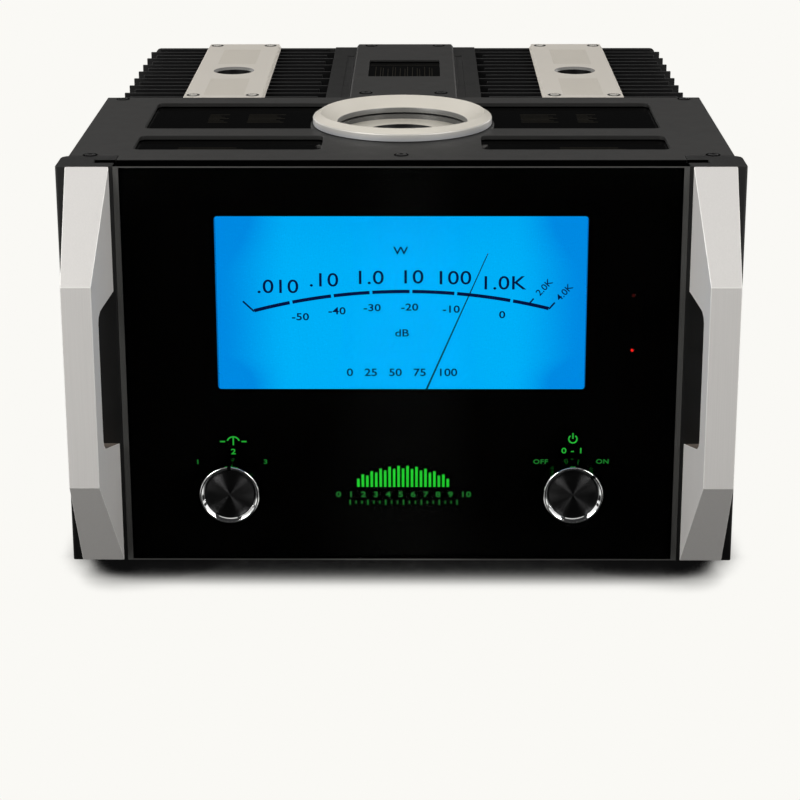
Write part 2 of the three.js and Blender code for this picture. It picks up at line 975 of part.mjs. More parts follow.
function heatsinkPlate() {
  const low = panelTop - plateThickness;
  const bottomHalf = plateWidth / 2;
  const slope = (plateWidth - plateTopWidth) / 2;
  const side = plateFluteShares.map(([out, up]) => point(
    bottomHalf - slope + slope * out,
    low + plateThickness * up,
  ));
  const outline = [...side, ...side.map(({ x, y }) => point(-x, y)).reverse()];
  const bar = alongY(outline.map(({ x, y }) => point(sinkCentre + x, y)), rearStart, chassisDepth);
  const collarRadius = holeRadius - gap;
  const collar = post(sinkCentre, holePlace, collarRadius, low - holeCollarDepth, low + overrun, roundSides);
  const bore = post(
    sinkCentre,
    holePlace,
    collarRadius - holeCollarWall,
    low - holeCollarDepth - overrun,
    panelTop + overrun,
    roundSides,
  );
  const corners = [-bottomHalf, bottomHalf].map(
    (x) => cornerCutter(x, low, panelTop, plateCorner).translate(sinkCentre, 0, 0),
  );
  return cut(join(bar, collar), bore, ...corners);
}

function centreWindowOutline(grow) {
  const half = centreWindowWidth / 2 + grow;
  return roundedRectangle(-half, half, centreWindowStart - grow, centreWindowEnd + grow, centreWindowCorner);
}

function centreDeck() {
  const top = panelTop - deckThickness;
  const inner = deckHalf - deckThickness;
  const under = top - deckThickness;
  const channel = alongY([
    point(-deckHalf, onBase),
    point(-inner, onBase),
    point(-inner, under),
    point(inner, under),
    point(inner, onBase),
    point(deckHalf, onBase),
    point(deckHalf, top),
    point(-deckHalf, top),
  ], rearStart, rearEnd);
  const opening = alongZ(centreWindowOutline(centreWindowLap), under - overrun, top + overrun);
  const floor = top - deckGrooveDepth;
  const start = rearStart - overrun;
  const grooves = [[-deckGrooveOuter, -deckGrooveInner], [deckGrooveInner, deckGrooveOuter]].map(
    ([left, right]) => block(left, right, start, deckGrooveEnd, floor, top + overrun),
  );
  return cut(channel, opening, ...grooves);
}

function centreCover() {
  const low = panelTop - deckThickness + gap;
  const half = centreCoverWidth / 2;
  const bar = alongY([
    point(-half, low),
    point(half, low),
    point(half - centreCoverSlope, panelTop),
    point(centreCoverSlope - half, panelTop),
  ], rearStart, chassisDepth);
  const opening = alongZ(centreWindowOutline(0), low - overrun, panelTop + overrun);
  const corners = [-half, half].map((x) => cornerCutter(x, low, panelTop, plateCorner));
  return cut(bar, opening, ...corners);
}

function centreWindow() {
  const top = panelTop - deckThickness;
  return alongZ(centreWindowOutline(centreWindowLap - gap), top - deckThickness, top);
}

function outputTransformer() {
  const coreBack = coreFront + coreLength;
  const core = block(-coreHalfWidth, coreHalfWidth, coreFront, coreBack, onBase, onBase + coreHeight);
  const middle = onBase + coreHeight / 2;
  const coilOutline = roundedRectangle(
    -coilHalfWidth,
    coilHalfWidth,
    middle - coilHeight / 2,
    middle + coilHeight / 2,
    coilCorner,
  );
  const coil = alongY(coilOutline, coreFront - coilOverhang, coreBack + coilOverhang);
  return join(core, coil);
}

function filterBank() {
  const board = onBase + bankStandoff;
  const pieces = [block(bankInner, bankOuter, bankFront, bankRear, board, board + boardThickness)];
  const pitchX = (bankOuter - bankInner) / canColumns;
  const pitchY = (bankRear - bankFront) / canRows;
  const canFoot = board + boardThickness / 2;
  for (let i = 0; i < canColumns; i += 1) {
    for (let j = 0; j < canRows; j += 1) {
      const x = bankInner + pitchX * (i + 0.5);
      const y = bankFront + pitchY * (j + 0.5);
      pieces.push(post(x, y, canDiameter / 2, canFoot, canFoot + canHeight, roundSides));
    }
  }
  for (const x of [bankInner + bankPostInset, bankOuter - bankPostInset]) {
    for (const y of [bankFront + bankPostInset, bankRear - bankPostInset]) {
      pieces.push(post(x, y, bankPostRadius, onBase, canFoot));
    }
  }
  return join(...pieces);
}

function amplifierBoard() {
  const wall = deckHalf - deckThickness - gap;
  const outer = wall - ampBoardStandoff;
  const inner = outer - boardThickness;
  const middle = (outer + inner) / 2;
  const pieces = [block(inner, outer, ampBoardFront, ampBoardRear, ampBoardBottom, ampBoardTop)];
  for (const y of [ampBoardFront + ampPostInset, ampBoardRear - ampPostInset]) {
    for (const z of [ampBoardBottom + ampPostInset, ampBoardTop - ampPostInset]) {
      pieces.push(alongX(circle(y, z, ampPostRadius, smallSides), middle, wall));
    }
  }
  const pitch = (ampBoardRear - ampBoardFront) / powerDeviceCount;
  const low = (ampBoardBottom + ampBoardTop - powerDeviceHeight) / 2;
  for (let i = 0; i < powerDeviceCount; i += 1) {
    const front = ampBoardFront + pitch * (i + 0.5) - powerDeviceWidth / 2;
    const back = front + powerDeviceWidth;
    pieces.push(block(inner - powerDeviceDepth, middle, front, back, low, low + powerDeviceHeight));
  }
  return join(...pieces);
}

// Feet

function foot() {
  const top = panelBottom - gap;
  return turnedZ([
    [0, top],
    [footRadius, top],
    [footRadius, footTaper],
    [footRadius - footTaper, 0],
    [footRecessRadius, 0],
    [footRecessRadius, footRecess],
    [0, footRecess],
  ], roundSides);
}

// Rear panel and what it carries

function terminalPlaces() {
  const half = terminalPitch / 2;
  return [[-half, half], [half, half], [-half, -half], [half, -half]].map(
    ([x, z]) => [x, terminalHeight + z],
  );
}

function rearPanel() {
  const half = panelHalf - rearPanelInset;
  const top = sinkTop;
  const outline = [
    point(-half, panelBottom),
    point(half, panelBottom),
    ...arc(half - rearPanelCorner, top - rearPanelCorner, rearPanelCorner, 0, 90, cornerSteps),
    ...arc(rearPanelCorner - half, top - rearPanelCorner, rearPanelCorner, 90, 180, cornerSteps),
  ];
  const inletHalf = inletBodyWidth / 2 + gap;
  const inletRise = inletBodyHeight / 2 + gap;
  const signalHalf = signalWidth / 2 - signalBodyMargin + gap;
  const signalRise = signalHeight / 2 - signalBodyMargin + gap;
  const holes = [
    rectangle(-inletHalf, inletHalf, inletHeight - inletRise, inletHeight + inletRise),
    circle(balancedAcross, balancedHeight, balancedBarrel + gap, roundSides),
    rectangle(
      signalAcross - signalHalf,
      signalAcross + signalHalf,
      signalHeightPlace - signalRise,
      signalHeightPlace + signalRise,
    ),
    ...terminalPlaces().map(([x, z]) => circle(x, z, studRadius + gap, smallSides)),
  ];
  const latchNotch = latchBlock(gap, latchReach, latchProud).translate(balancedAcross, 0, balancedHeight);
  return cut(alongY(outline, rearPanelFront, chassisDepth, holes), latchNotch);
}

function mainsInlet() {
  const halfWidth = inletFlangeWidth / 2;
  const halfHeight = inletFlangeHeight / 2;
  const back = panelFace + inletFlange;
  const flange = alongY(
    roundedRectangle(-halfWidth, halfWidth, -halfHeight, halfHeight, inletCorner),
    panelFace,
    back,
  );
  const body = block(
    -inletBodyWidth / 2,
    inletBodyWidth / 2,
    panelFace - inletBodyDepth,
    panelFace + inletFlange / 2,
    -inletBodyHeight / 2,
    inletBodyHeight / 2,
  );
  const floor = back - inletSocketDepth;
  const socket = alongY(
    roundedRectangle(
      -inletSocketWidth / 2,
      inletSocketWidth / 2,
      -inletSocketHeight / 2,
      inletSocketHeight / 2,
      inletCorner,
    ),
    floor,
    back + overrun,
  );
  const pins = [[-inletPinSpacing, -inletPinRise], [0, inletPinRise], [inletPinSpacing, -inletPinRise]].map(
    ([x, z]) => block(
      x - inletPinWidth / 2,
      x + inletPinWidth / 2,
      floor - overrun,
      floor + inletPinLength,
      z - inletPinHeight / 2,
      z + inletPinHeight / 2,
    ),
  );
  return join(cut(join(flange, body), socket), ...pins);
}

// Balanced socket, drawn about its own axis
function balancedInput() {
  const halfWidth = balancedFlangeWidth / 2;
  const halfHeight = balancedFlangeHeight / 2;
  const back = panelFace + balancedFlange;
  const flange = alongY(
    roundedRectangle(-halfWidth, halfWidth, -halfHeight, halfHeight, balancedFlange),
    panelFace,
    back,
  );
  const barrel = rod(0, 0, balancedBarrel, panelFace - balancedBarrelDepth, panelFace + overrun, roundSides);
  const floor = back - balancedDepth;
  const mouth = rod(0, 0, balancedShell, floor, back + overrun, roundSides);
  const insert = rod(0, 0, balancedInsert, floor - overrun, back, roundSides);
  const pinHoles = [90, 210, 330].map((degrees) => {
    const angle = THREE.MathUtils.degToRad(degrees);
    const x = balancedPinCircle * Math.cos(angle);
    const z = balancedPinCircle * Math.sin(angle);
    return rod(x, z, balancedPinRadius, floor, back + overrun);
  });
  const slot = latchBlock(gap, latchReach, latchProud);
  return cut(join(cut(join(flange, barrel), mouth), insert), slot, ...pinHoles);
}

function latchBlock(grow, inside, proud) {
  const half = latchWidth / 2 + grow;
  const low = latchRise - latchHeight / 2 - grow;
  const high = latchRise + latchHeight / 2 + grow;
  const face = panelFace + balancedFlange;
  return block(-half, half, face - inside, face + proud, low, high);
}

// Small panel with a phono socket, two control jacks and the slide switch
function signalPanel() {
  const halfWidth = signalWidth / 2;
  const halfHeight = signalHeight / 2;
  const back = panelFace + signalThickness;
  const plate = block(-halfWidth, halfWidth, panelFace, back, -halfHeight, halfHeight);
  const bodyHalf = halfWidth - signalBodyMargin;
  const bodyRise = halfHeight - signalBodyMargin;
  const bodyEnd = panelFace - signalBodyDepth;
  const body = block(-bodyHalf, bodyHalf, bodyEnd, panelFace + overrun, -bodyRise, bodyRise);
  const nut = rod(phonoAcross, phonoRise, phonoNut, back - overrun, back + phonoNutDepth, roundSides);
  const barrel = rod(phonoAcross, phonoRise, phonoRadius, back - overrun, back + phonoLength, roundSides);
  const jacks = [jackAcross, jackAcross + jackPitch];
  const collars = jacks.map((x) => rod(x, phonoRise, jackRadius, back - overrun, back + jackLength));
  const phonoBore = rod(phonoAcross, phonoRise, phonoHole, panelFace, back + phonoLength + overrun);
  const jackEnd = back + jackLength + overrun;
  const jackBores = jacks.map((x) => rod(x, phonoRise, jackHole, back - jackDepth, jackEnd));
  const slot = block(
    slideAcross - slideSlotWidth / 2,
    slideAcross + slideSlotWidth / 2,
    back - slideFloor - sliderInside,
    back + overrun,
    slideRise - slideSlotHeight / 2,
    slideRise + slideSlotHeight / 2,
  );
  return cut(join(plate, body, nut, barrel, ...collars), phonoBore, ...jackBores, slot);
}

function inputSlider() {
  const back = panelFace + signalThickness;
  const left = slideAcross - slideSlotWidth / 2 + gap;
  const half = slideSlotHeight / 2 - gap;
  const inner = back - slideFloor - sliderInside + gap;
  return block(left, left + sliderWidth, inner, back + sliderProud, slideRise - half, slideRise + half);
}

function terminalBlock() {
  const half = terminalPlateSize / 2;
  const back = panelFace + terminalPlate;
  const plate = block(-half, half, panelFace, back, terminalHeight - half, terminalHeight + half);
  const pieces = [plate];
  for (const [x, z] of terminalPlaces()) {
    pieces.push(rod(x, z, terminalCollar, back - overrun, back + terminalCollarDepth, roundSides));
    pieces.push(rod(x, z, studRadius, rearPanelFront - studInside, chassisDepth + studProud));
  }
  return join(...pieces);
}

// Ridged nut, drawn about its own stud
function terminalNut() {
  const front = panelFace + terminalPlate + terminalCollarDepth + gap;
  const outline = [];
  for (let i = 0; i < nutRidges * 2; i += 1) {
    const angle = (Math.PI * i) / nutRidges;
    const radius = i % 2 === 0 ? nutRadius : nutRadius - nutRidgeDepth;
    outline.push(point(radius * Math.cos(angle), radius * Math.sin(angle)));
  }
  return alongY(outline, front, front + nutLength, [circle(0, 0, studRadius + gap, smallSides)]);
}

// Assembly of the front
add('front_glass', frontGlass(), blackGlass());
add('printed_mask', printedMask(), blackPrint());
add('front_frame', frontFrame(), greyAnodized());
addPair('end_cap', endCap(), blackPaint);
addPair('handle', handle(), silverAnodized);

// Assembly of the meter
add('meter_housing', meterHousing(), whitePlastic());
add('meter_dial', meterDial(), litBlue());
add('dial_light_board', dialLightBoard(), boardGreen());
const pivot = new THREE.Group();
pivot.position.z = pivotHeight;
amplifier.add(pivot);
add('meter_movement', meterMovement(), blackPlastic(), pivot);
const swing = new THREE.Group();
swing.rotation.y = THREE.MathUtils.degToRad(needleAngle);
pivot.add(swing);
add('meter_needle', meterNeedle(), needleBlack(), swing);

// Assembly of the knobs
function addKnob(name, across, angle) {
  const place = new THREE.Group();
  place.position.set(across, 0, knobHeight);
  amplifier.add(place);
  add(`${name}_switch`, rotarySwitch(), blackPlastic(), place);
  const turn = new THREE.Group();
  turn.rotation.y = THREE.MathUtils.degToRad(angle);
  place.add(turn);
  add(`${name}_knob`, knobBody(), darkChrome(), turn);
  add(`${name}_knob_rim`, knobRim(), chrome(), turn);
  add(`${name}_knob_face`, knobFace(), spunBlack(), turn);
}

addKnob('meter', -knobSide, 0);
addKnob('power', knobSide, powerKnobAngle);
add('indicator_board', indicatorBoard(), boardGreen());

// Assembly of the chassis
add('bottom_plate', bottomPlate(), blackPaint());
addPair('side_panel', sidePanel(), blackPaint);
add('bulkhead', bulkhead(), blackPaint());
add('rear_panel', rearPanel(), blackPaint());
add('top_cover', topCover(), blackPaint());
addPair('front_window', topWindow(frontWindow), smokedGlass);
addPair('rear_window', topWindow(rearWindow), smokedGlass);
const onRing = new THREE.Group();
onRing.position.y = ringCentre;
amplifier.add(onRing);
add('top_ring', topRing(), creamAnodized(), onRing);
add('ring_liner', ringLiner(), plateAnodized(), onRing);
add('power_transformer', powerTransformer(), canBlack(), onRing);

// Assembly of the rear half
addPair('heatsink', heatsink(), finBlack);
addPair('heatsink_plate', heatsinkPlate(), plateAnodized);
add('centre_deck', centreDeck(), blackPaint());
add('centre_cover', centreCover(), blackPaint());
add('centre_window', centreWindow(), smokedGlass());
add('output_transformer', outputTransformer(), coreSteel());
addPair('filter_bank', filterBank(), canBlack);
addPair('amplifier_board', amplifierBoard(), boardGreen);

for (const [end, y] of [['front', frontFootPlace], ['rear', rearFootPlace]]) {
  for (const [side, x] of [['left', -footSide], ['right', footSide]]) {
    add(`foot_${end}_${side}`, foot(), footRubber()).position.set(x, y, 0);
  }
}

// Assembly of the connectors
add('mains_inlet', mainsInlet(), blackPlastic()).position.z = inletHeight;
add('balanced_input', balancedInput(), nickel()).position.set(balancedAcross, 0, balancedHeight);
const latch = add('input_latch', latchBlock(0, latchInside, latchProud), nickel());
latch.position.set(balancedAcross, 0, balancedHeight);
add('signal_panel', signalPanel(), blackPlastic()).position.set(signalAcross, 0, signalHeightPlace);
add('input_slider', inputSlider(), whitePlastic()).position.set(signalAcross, 0, signalHeightPlace);
add('terminal_block', terminalBlock(), blackPlastic());
terminalPlaces().forEach(([x, z], index) => {
  const color = index % 2 === 0 ? blackPlastic : redPlastic;
  add(`terminal_nut_${index + 1}`, terminalNut(), color()).position.set(x, 0, z);
});

export default amplifier;
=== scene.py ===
# Looks of the power amplifier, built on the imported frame. Lengths are millimetres in the part's own places:
# y is 0 at the front of the glass and grows to the back, z is 0 at the floor.

import json
import math

import bmesh
import bpy
from mathutils import Matrix, Vector

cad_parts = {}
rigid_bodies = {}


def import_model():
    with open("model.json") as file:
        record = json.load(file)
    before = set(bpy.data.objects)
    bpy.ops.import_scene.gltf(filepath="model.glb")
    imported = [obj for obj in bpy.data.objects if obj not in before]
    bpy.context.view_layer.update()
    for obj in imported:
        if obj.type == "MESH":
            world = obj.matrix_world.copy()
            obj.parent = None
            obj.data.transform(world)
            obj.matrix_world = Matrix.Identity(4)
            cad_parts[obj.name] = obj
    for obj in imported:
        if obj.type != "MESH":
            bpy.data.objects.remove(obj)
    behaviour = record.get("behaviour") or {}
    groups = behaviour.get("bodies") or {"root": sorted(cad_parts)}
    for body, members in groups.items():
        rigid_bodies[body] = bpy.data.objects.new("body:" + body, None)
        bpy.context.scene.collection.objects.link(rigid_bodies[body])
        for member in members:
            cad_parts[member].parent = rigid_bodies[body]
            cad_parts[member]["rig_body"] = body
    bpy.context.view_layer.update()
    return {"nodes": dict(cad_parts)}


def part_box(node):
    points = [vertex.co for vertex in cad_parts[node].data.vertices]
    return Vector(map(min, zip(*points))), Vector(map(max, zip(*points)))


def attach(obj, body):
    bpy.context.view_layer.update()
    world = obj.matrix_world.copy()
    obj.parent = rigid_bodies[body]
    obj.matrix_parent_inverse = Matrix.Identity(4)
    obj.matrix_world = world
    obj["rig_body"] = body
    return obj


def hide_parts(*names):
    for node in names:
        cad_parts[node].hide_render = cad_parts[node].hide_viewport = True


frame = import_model()
nodes = frame["nodes"]

MM = 0.001
ORIGIN_Y = 214.5
scene = bpy.context.scene


def at(x, y, z):
    """A place in metres, from millimetres."""
    return Vector((x, y - ORIGIN_Y, z)) * MM


def span(name):
    """Lowest and highest corner of a CAD node, in millimetres."""
    corners = []
    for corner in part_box(name):
        places = (corner.x / MM, corner.y / MM + ORIGIN_Y, corner.z / MM)
        corners.append([round(place, 3) for place in places])
    return corners


def centre(name):
    low, high = span(name)
    return [(first + last) / 2 for first, last in zip(low, high)]


PANEL_TOP = span("front_frame")[1][2]
REAR_FACE = span("rear_panel")[1][1]

# Camera

CAMERA_PLACE = (0.0116, -1.5862, 0.6147)
CAMERA_DOWN = 16.72
CAMERA_ROLL = 0.12
CAMERA_TURN = 0.48

camera = bpy.data.objects.new("camera", bpy.data.cameras.new("camera"))
scene.collection.objects.link(camera)
camera.location = CAMERA_PLACE
camera.rotation_euler = [math.radians(angle) for angle in (90 - CAMERA_DOWN, CAMERA_ROLL, CAMERA_TURN)]
camera.data.sensor_width = 36
camera.data.lens = 98.8
camera.data.shift_y = -0.125
camera.data.clip_end = 60
scene.camera = camera
scene.view_settings.view_transform = "Standard"


# Shader helpers


def feed(tree, made, inputs):
    """Fills a node's inputs, each with a socket to link from or a constant."""
    for key, value in inputs.items():
        if isinstance(value, bpy.types.NodeSocket):
            tree.links.new(value, made.inputs[key])
        else:
            made.inputs[key].default_value = value


def node(tree, kind, inputs, **settings):
    made = tree.nodes.new(kind)
    for key, value in settings.items():
        setattr(made, key, value)
    feed(tree, made, inputs)
    return made


def math_node(tree, operation, *values, clamp=False):
    inputs = dict(enumerate(values))
    return node(tree, "ShaderNodeMath", inputs, operation=operation, use_clamp=clamp).outputs[0]


def times(tree, first, second):
    return math_node(tree, "MULTIPLY", first, second)


def plus(tree, first, second, clamp=False):
    return math_node(tree, "ADD", first, second, clamp=clamp)


def larger(tree, first, second):
    return math_node(tree, "MAXIMUM", first, second)


def blended(tree, first, second, share):
    """Sum of two values, where the first one counts for share and the second one for the rest."""
    return plus(tree, times(tree, first, share), times(tree, second, 1 - share))


def vector_math(tree, operation, *vectors, output=0):
    inputs = dict(enumerate(vectors))
    return node(tree, "ShaderNodeVectorMath", inputs, operation=operation).outputs[output]


def split(tree, vector):
    """The X, Y and Z outputs of a vector."""
    return node(tree, "ShaderNodeSeparateXYZ", {0: vector}).outputs


def place(tree):
    return tree.nodes.new("ShaderNodeTexCoord").outputs["Object"]


def noise(tree, scale, detail=3.0, roughness=0.55, vector=None):
    """Noise over the object's own places, unless a vector is given."""
    inputs = {"Vector": vector or place(tree), "Scale": scale, "Detail": detail, "Roughness": roughness}
    return node(tree, "ShaderNodeTexNoise", inputs).outputs[0]


def bump(tree, height, depth):
    return node(tree, "ShaderNodeBump", {"Height": height, "Distance": depth}).outputs[0]


def ranged(tree, value, low, high, start=0.0, end=1.0, smooth=False):
    """Maps low to high onto start to end, and keeps within them."""
    inputs = {"Value": value, "From Min": low, "From Max": high, "To Min": start, "To Max": end}
    kind = "SMOOTHSTEP" if smooth else "LINEAR"
    return node(tree, "ShaderNodeMapRange", inputs, interpolation_type=kind).outputs[0]


def mixed(tree, factor, first, second):
    inputs = {"Factor": factor, "A": first, "B": second}
    return node(tree, "ShaderNodeMix", inputs, data_type="FLOAT").outputs[0]


def mixed_colour(tree, factor, first, second):
    inputs = {0: factor, 6: first, 7: second}
    return node(tree, "ShaderNodeMix", inputs, data_type="RGBA").outputs[2]


# Shared effects, as node groups

VALUE, VECTOR = "NodeSocketFloat", "NodeSocketVector"
DETAIL = [("Value", VALUE), ("Normal", VECTOR)]
GROUPS = {}


def add_group(name, inputs, outputs, build):
    """A shared effect. build(tree, inputs) returns one socket for each output."""
    tree = bpy.data.node_groups.new(name, "ShaderNodeTree")
    for label, kind, value in inputs:
        socket = tree.interface.new_socket(label, in_out="INPUT", socket_type=kind)
        socket.default_value = value
    for label, kind in outputs:
        tree.interface.new_socket(label, in_out="OUTPUT", socket_type=kind)
    entry = tree.nodes.new("NodeGroupInput")
    leave = tree.nodes.new("NodeGroupOutput")
    for (label, _), socket in zip(outputs, build(tree, entry.outputs)):
        tree.links.new(socket, leave.inputs[label])
    GROUPS[name] = tree


def group(tree, name, inputs):
    return node(tree, "ShaderNodeGroup", inputs, node_tree=GROUPS[name]).outputs


def grain_effect(tree, inputs):
    """Fine pits on a slow cloud."""
    cloud_scale = 0.031
    fine = noise(tree, inputs["Scale"], 2.0)
    cloud = noise(tree, times(tree, inputs["Scale"], cloud_scale))
    return blended(tree, fine, cloud, 0.6), bump(tree, fine, inputs["Depth"])


def stroke_effect(tree, inputs):
    """Brushed lines along one direction."""
    stretched = vector_math(tree, "MULTIPLY", place(tree), inputs["Stretch"])
    lines = noise(tree, 1.0, 4.0, 0.7, stretched)
    cloud = noise(tree, 9.0)
    return blended(tree, lines, cloud, 0.8), bump(tree, lines, inputs["Depth"])


def turned_effect(tree, inputs):
    """Fine rings of a lathe round an axis."""
    offset = vector_math(tree, "SUBTRACT", place(tree), inputs["Centre"])
    flat = vector_math(tree, "MULTIPLY", offset, inputs["Across"])
    radius = vector_math(tree, "LENGTH", flat, output="Value")
    settings = {"W": radius, "Scale": inputs["Scale"], "Detail": 3.0}
    lines = node(tree, "ShaderNodeTexNoise", settings, noise_dimensions="1D").outputs[0]
    cloud = noise(tree, 14.0)
    return blended(tree, lines, cloud, 0.75), bump(tree, lines, inputs["Depth"])


def dust_effect(tree, inputs):
    """A film and specks on what faces up."""
    up = split(tree, tree.nodes.new("ShaderNodeNewGeometry").outputs["Normal"])["Z"]
    facing = ranged(tree, up, 0.6, 1.0)
    specks = ranged(tree, noise(tree, 900.0, 2.0), 0.62, 0.72)
    film = noise(tree, 25.0, 4.0)
    amount = blended(tree, specks, film, 0.5)
    return (times(tree, times(tree, facing, amount), inputs["Amount"]),)


add_group("grain", [("Scale", VALUE, 2500.0), ("Depth", VALUE, 0.00005)], DETAIL, grain_effect)
add_group("strokes", [("Stretch", VECTOR, (20.0, 3000.0, 3000.0)), ("Depth", VALUE, 0.00002)], DETAIL,
          stroke_effect)
add_group("turned", [("Centre", VECTOR, (0, 0, 0)), ("Across", VECTOR, (1, 1, 0)), ("Scale", VALUE, 1800.0),
                     ("Depth", VALUE, 0.00002)], DETAIL, turned_effect)
add_group("dust", [("Amount", VALUE, 0.1)], [("Amount", VALUE)], dust_effect)


def grain(scale, depth):
    return "grain", {"Scale": scale, "Depth": depth}


def strokes(along, fine, coarse, depth):
    """Lines along one axis, with a fine scale across them and a coarse one along them."""
    stretch = [coarse if axis == along else fine for axis in "XYZ"]
    return "strokes", {"Stretch": stretch, "Depth": depth}


FINE_STROKES = strokes("Z", 2600.0, 25.0, 0.000008)
HANDLE_STROKES = strokes("Z", 1300.0, 14.0, 0.000012)
LONG_STROKES = strokes("Y", 2600.0, 22.0, 0.00001)
ACROSS_STROKES = strokes("X", 2600.0, 22.0, 0.00001)
RING_X, RING_Y, _ = centre("top_ring")
RING_TURNING = {"Centre": at(RING_X, RING_Y, 0), "Across": (1, 1, 0), "Scale": 1500.0, "Depth": 0.00001}
RING_STROKES = ("turned", RING_TURNING)


# Materials


def grey(level):
    return (level, level, level)


def new_look(name):
    made = bpy.data.materials.new(name)
    made.use_nodes = True
    return made, made.node_tree


def shade_with(tree, **values):
    """Fills the inputs of the material's shader. A low line in a name stands for a space."""
    feed(tree, tree.nodes["Principled BSDF"], {key.replace("_", " "): value for key, value in values.items()})


def surface(name, colour, roughness, effect, metallic=0.0, specular=0.5, spread=0.08, shade=0.12, dust=0.0,
            **sockets):
    """A solid finish: its colour and roughness vary with a shared effect that also gives the fine relief."""
    made, tree = new_look(name)
    detail = group(tree, *effect)
    dark = [c * (1 - shade) for c in colour] + [1]
    light = [min(1, c * (1 + shade)) for c in colour] + [1]
    tint = mixed_colour(tree, detail["Value"], dark, light)
    rough = ranged(tree, detail["Value"], 0.3, 0.7, max(0.02, roughness - spread), roughness + spread)
    if dust:
        amount = group(tree, "dust", {"Amount": dust})[0]
        tint = mixed_colour(tree, amount, tint, (0.45, 0.43, 0.4, 1))
        rough = mixed(tree, amount, rough, 0.85)
    shade_with(tree, Base_Color=tint, Metallic=metallic, Specular_IOR_Level=specular, Roughness=rough,
               Normal=detail["Normal"], **sockets)
    return made


def lit(name, colour, strength):
    """Back-lit print with slightly uneven light."""
    made, tree = new_look(name)
    dim, bright = 0.82, 1.15
    uneven = noise(tree, 160.0, 2.0)
    low = [c * dim for c in colour] + [1]
    high = [min(1, c * bright) for c in colour] + [1]
    glow = mixed_colour(tree, uneven, low, high)
    shade_with(tree, Emission_Color=glow, Emission_Strength=strength, Base_Color=(0.0005, 0.0005, 0.0005, 1),
               Roughness=0.6, Specular_IOR_Level=0.05)
    return made


def lit_dial():
    """Blue sheet lit from behind, brightest in the middle and darker to the sides, the top and the foot."""
    made, tree = new_look("dial_lit")
    side_start, side_end = 72, 124
    top_start, top_end = 215, 262
    foot_start, foot_end = 160, 137
    spot = split(tree, place(tree))
    aside = math_node(tree, "ABSOLUTE", spot["X"])
    side = ranged(tree, aside, side_start * MM, side_end * MM, smooth=True)
    top = ranged(tree, spot["Z"], top_start * MM, top_end * MM, 0.0, 0.55, smooth=True)
    foot = ranged(tree, spot["Z"], foot_start * MM, foot_end * MM, 0.0, 0.9, smooth=True)
    corners = plus(tree, side, times(tree, top, side))
    ends = plus(tree, times(tree, foot, side), times(tree, top, 0.35))
    cloud = times(tree, noise(tree, 12.0, 2.0), 0.06)
    fall = plus(tree, plus(tree, corners, ends, clamp=True), cloud, clamp=True)
    glow = mixed_colour(tree, fall, (0.0, 0.43, 0.925, 1), (0.0, 0.25, 0.75, 1))
    shade_with(tree, Emission_Color=glow, Emission_Strength=1.0, Base_Color=(0.0, 0.003, 0.008, 1),
               Roughness=0.8, Specular_IOR_Level=0.0)
    return made


def clear_glass():
    """Clear sheet with faint smears. Its low index keeps the front black, as photographed."""
    made, tree = new_look("front_glass")
    smear = ranged(tree, noise(tree, 18.0, 4.0), 0.35, 0.75, 0.0, 0.008)
    waves = bump(tree, noise(tree, 6.0, 1.0), 0.00002)
    shade_with(tree, Base_Color=(1, 1, 1, 1), Roughness=smear, Normal=waves, Transmission_Weight=1.0,
               IOR=1.06)
    return made


LOOKS = {}


def add_look(name, colour, roughness, effect, **settings):
    """A finish for every CAD node whose material has this name."""
    LOOKS[name] = surface(name, colour, roughness, effect, **settings)


LOOKS["front_glass"] = clear_glass()
add_look("mask_print", grey(0.0005), 0.9, grain(1800.0, 0.000005), specular=0.0)
add_look("front_frame", (0.088, 0.088, 0.085), 0.45, FINE_STROKES, metallic=0.5)
add_look("black_paint", (0.013, 0.0128, 0.0125), 0.56, grain(2200.0, 0.00006), dust=0.02, specular=0.36)
add_look("handle_aluminium", (0.67, 0.657, 0.645), 0.5, HANDLE_STROKES, metallic=0.1, shade=0.1)
add_look("ring_aluminium", (0.72, 0.685, 0.615), 0.44, RING_STROKES, metallic=0.25, shade=0.04)
add_look("plate_aluminium", (0.66, 0.625, 0.57), 0.62, LONG_STROKES, shade=0.06, specular=0.3)
add_look("heatsink_black", (0.003, 0.003, 0.0033), 0.38, FINE_STROKES, specular=0.4)
add_look("knob_body", (0.05, 0.05, 0.054), 0.1, grain(400.0, 0.0000004), metallic=1.0, spread=0.03)
add_look("knob_rim", (0.86, 0.87, 0.88), 0.07, grain(300.0, 0.0000002), metallic=1.0, spread=0.02, shade=0.03)
add_look("knob_face", (0.08, 0.08, 0.085), 0.25, grain(600.0, 0.000002), metallic=1.0)
add_look("smoked_glass", grey(0.0006), 0.12, grain(40.0, 0.000002), spread=0.04, specular=0.02)
LOOKS["dial_lit"] = lit_dial()
add_look("needle", (0.0008, 0.002, 0.012), 0.6, grain(1500.0, 0.000004), specular=0.1)
add_look("housing_white", (0.85, 0.86, 0.84), 0.55, grain(1600.0, 0.00003))
add_look("movement_plastic", (0.05, 0.05, 0.053), 0.5, grain(1400.0, 0.00004))
add_look("board", (0.03, 0.12, 0.06), 0.35, grain(500.0, 0.00003), shade=0.3)
add_look("transformer_can", grey(0.03), 0.45, grain(1100.0, 0.00008))
add_look("transformer_core", (0.25, 0.23, 0.2), 0.5, ACROSS_STROKES, metallic=0.6, shade=0.3)
add_look("foot_rubber", grey(0.02), 0.8, grain(1500.0, 0.00008))
add_look("nickel", (0.7, 0.68, 0.63), 0.34, FINE_STROKES, metallic=0.8, spread=0.02, shade=0.04)
add_look("connector_plastic", (0.03, 0.03, 0.032), 0.35, grain(1600.0, 0.00002))
add_look("slider_white", (0.8, 0.8, 0.77), 0.4, grain(1600.0, 0.00003))
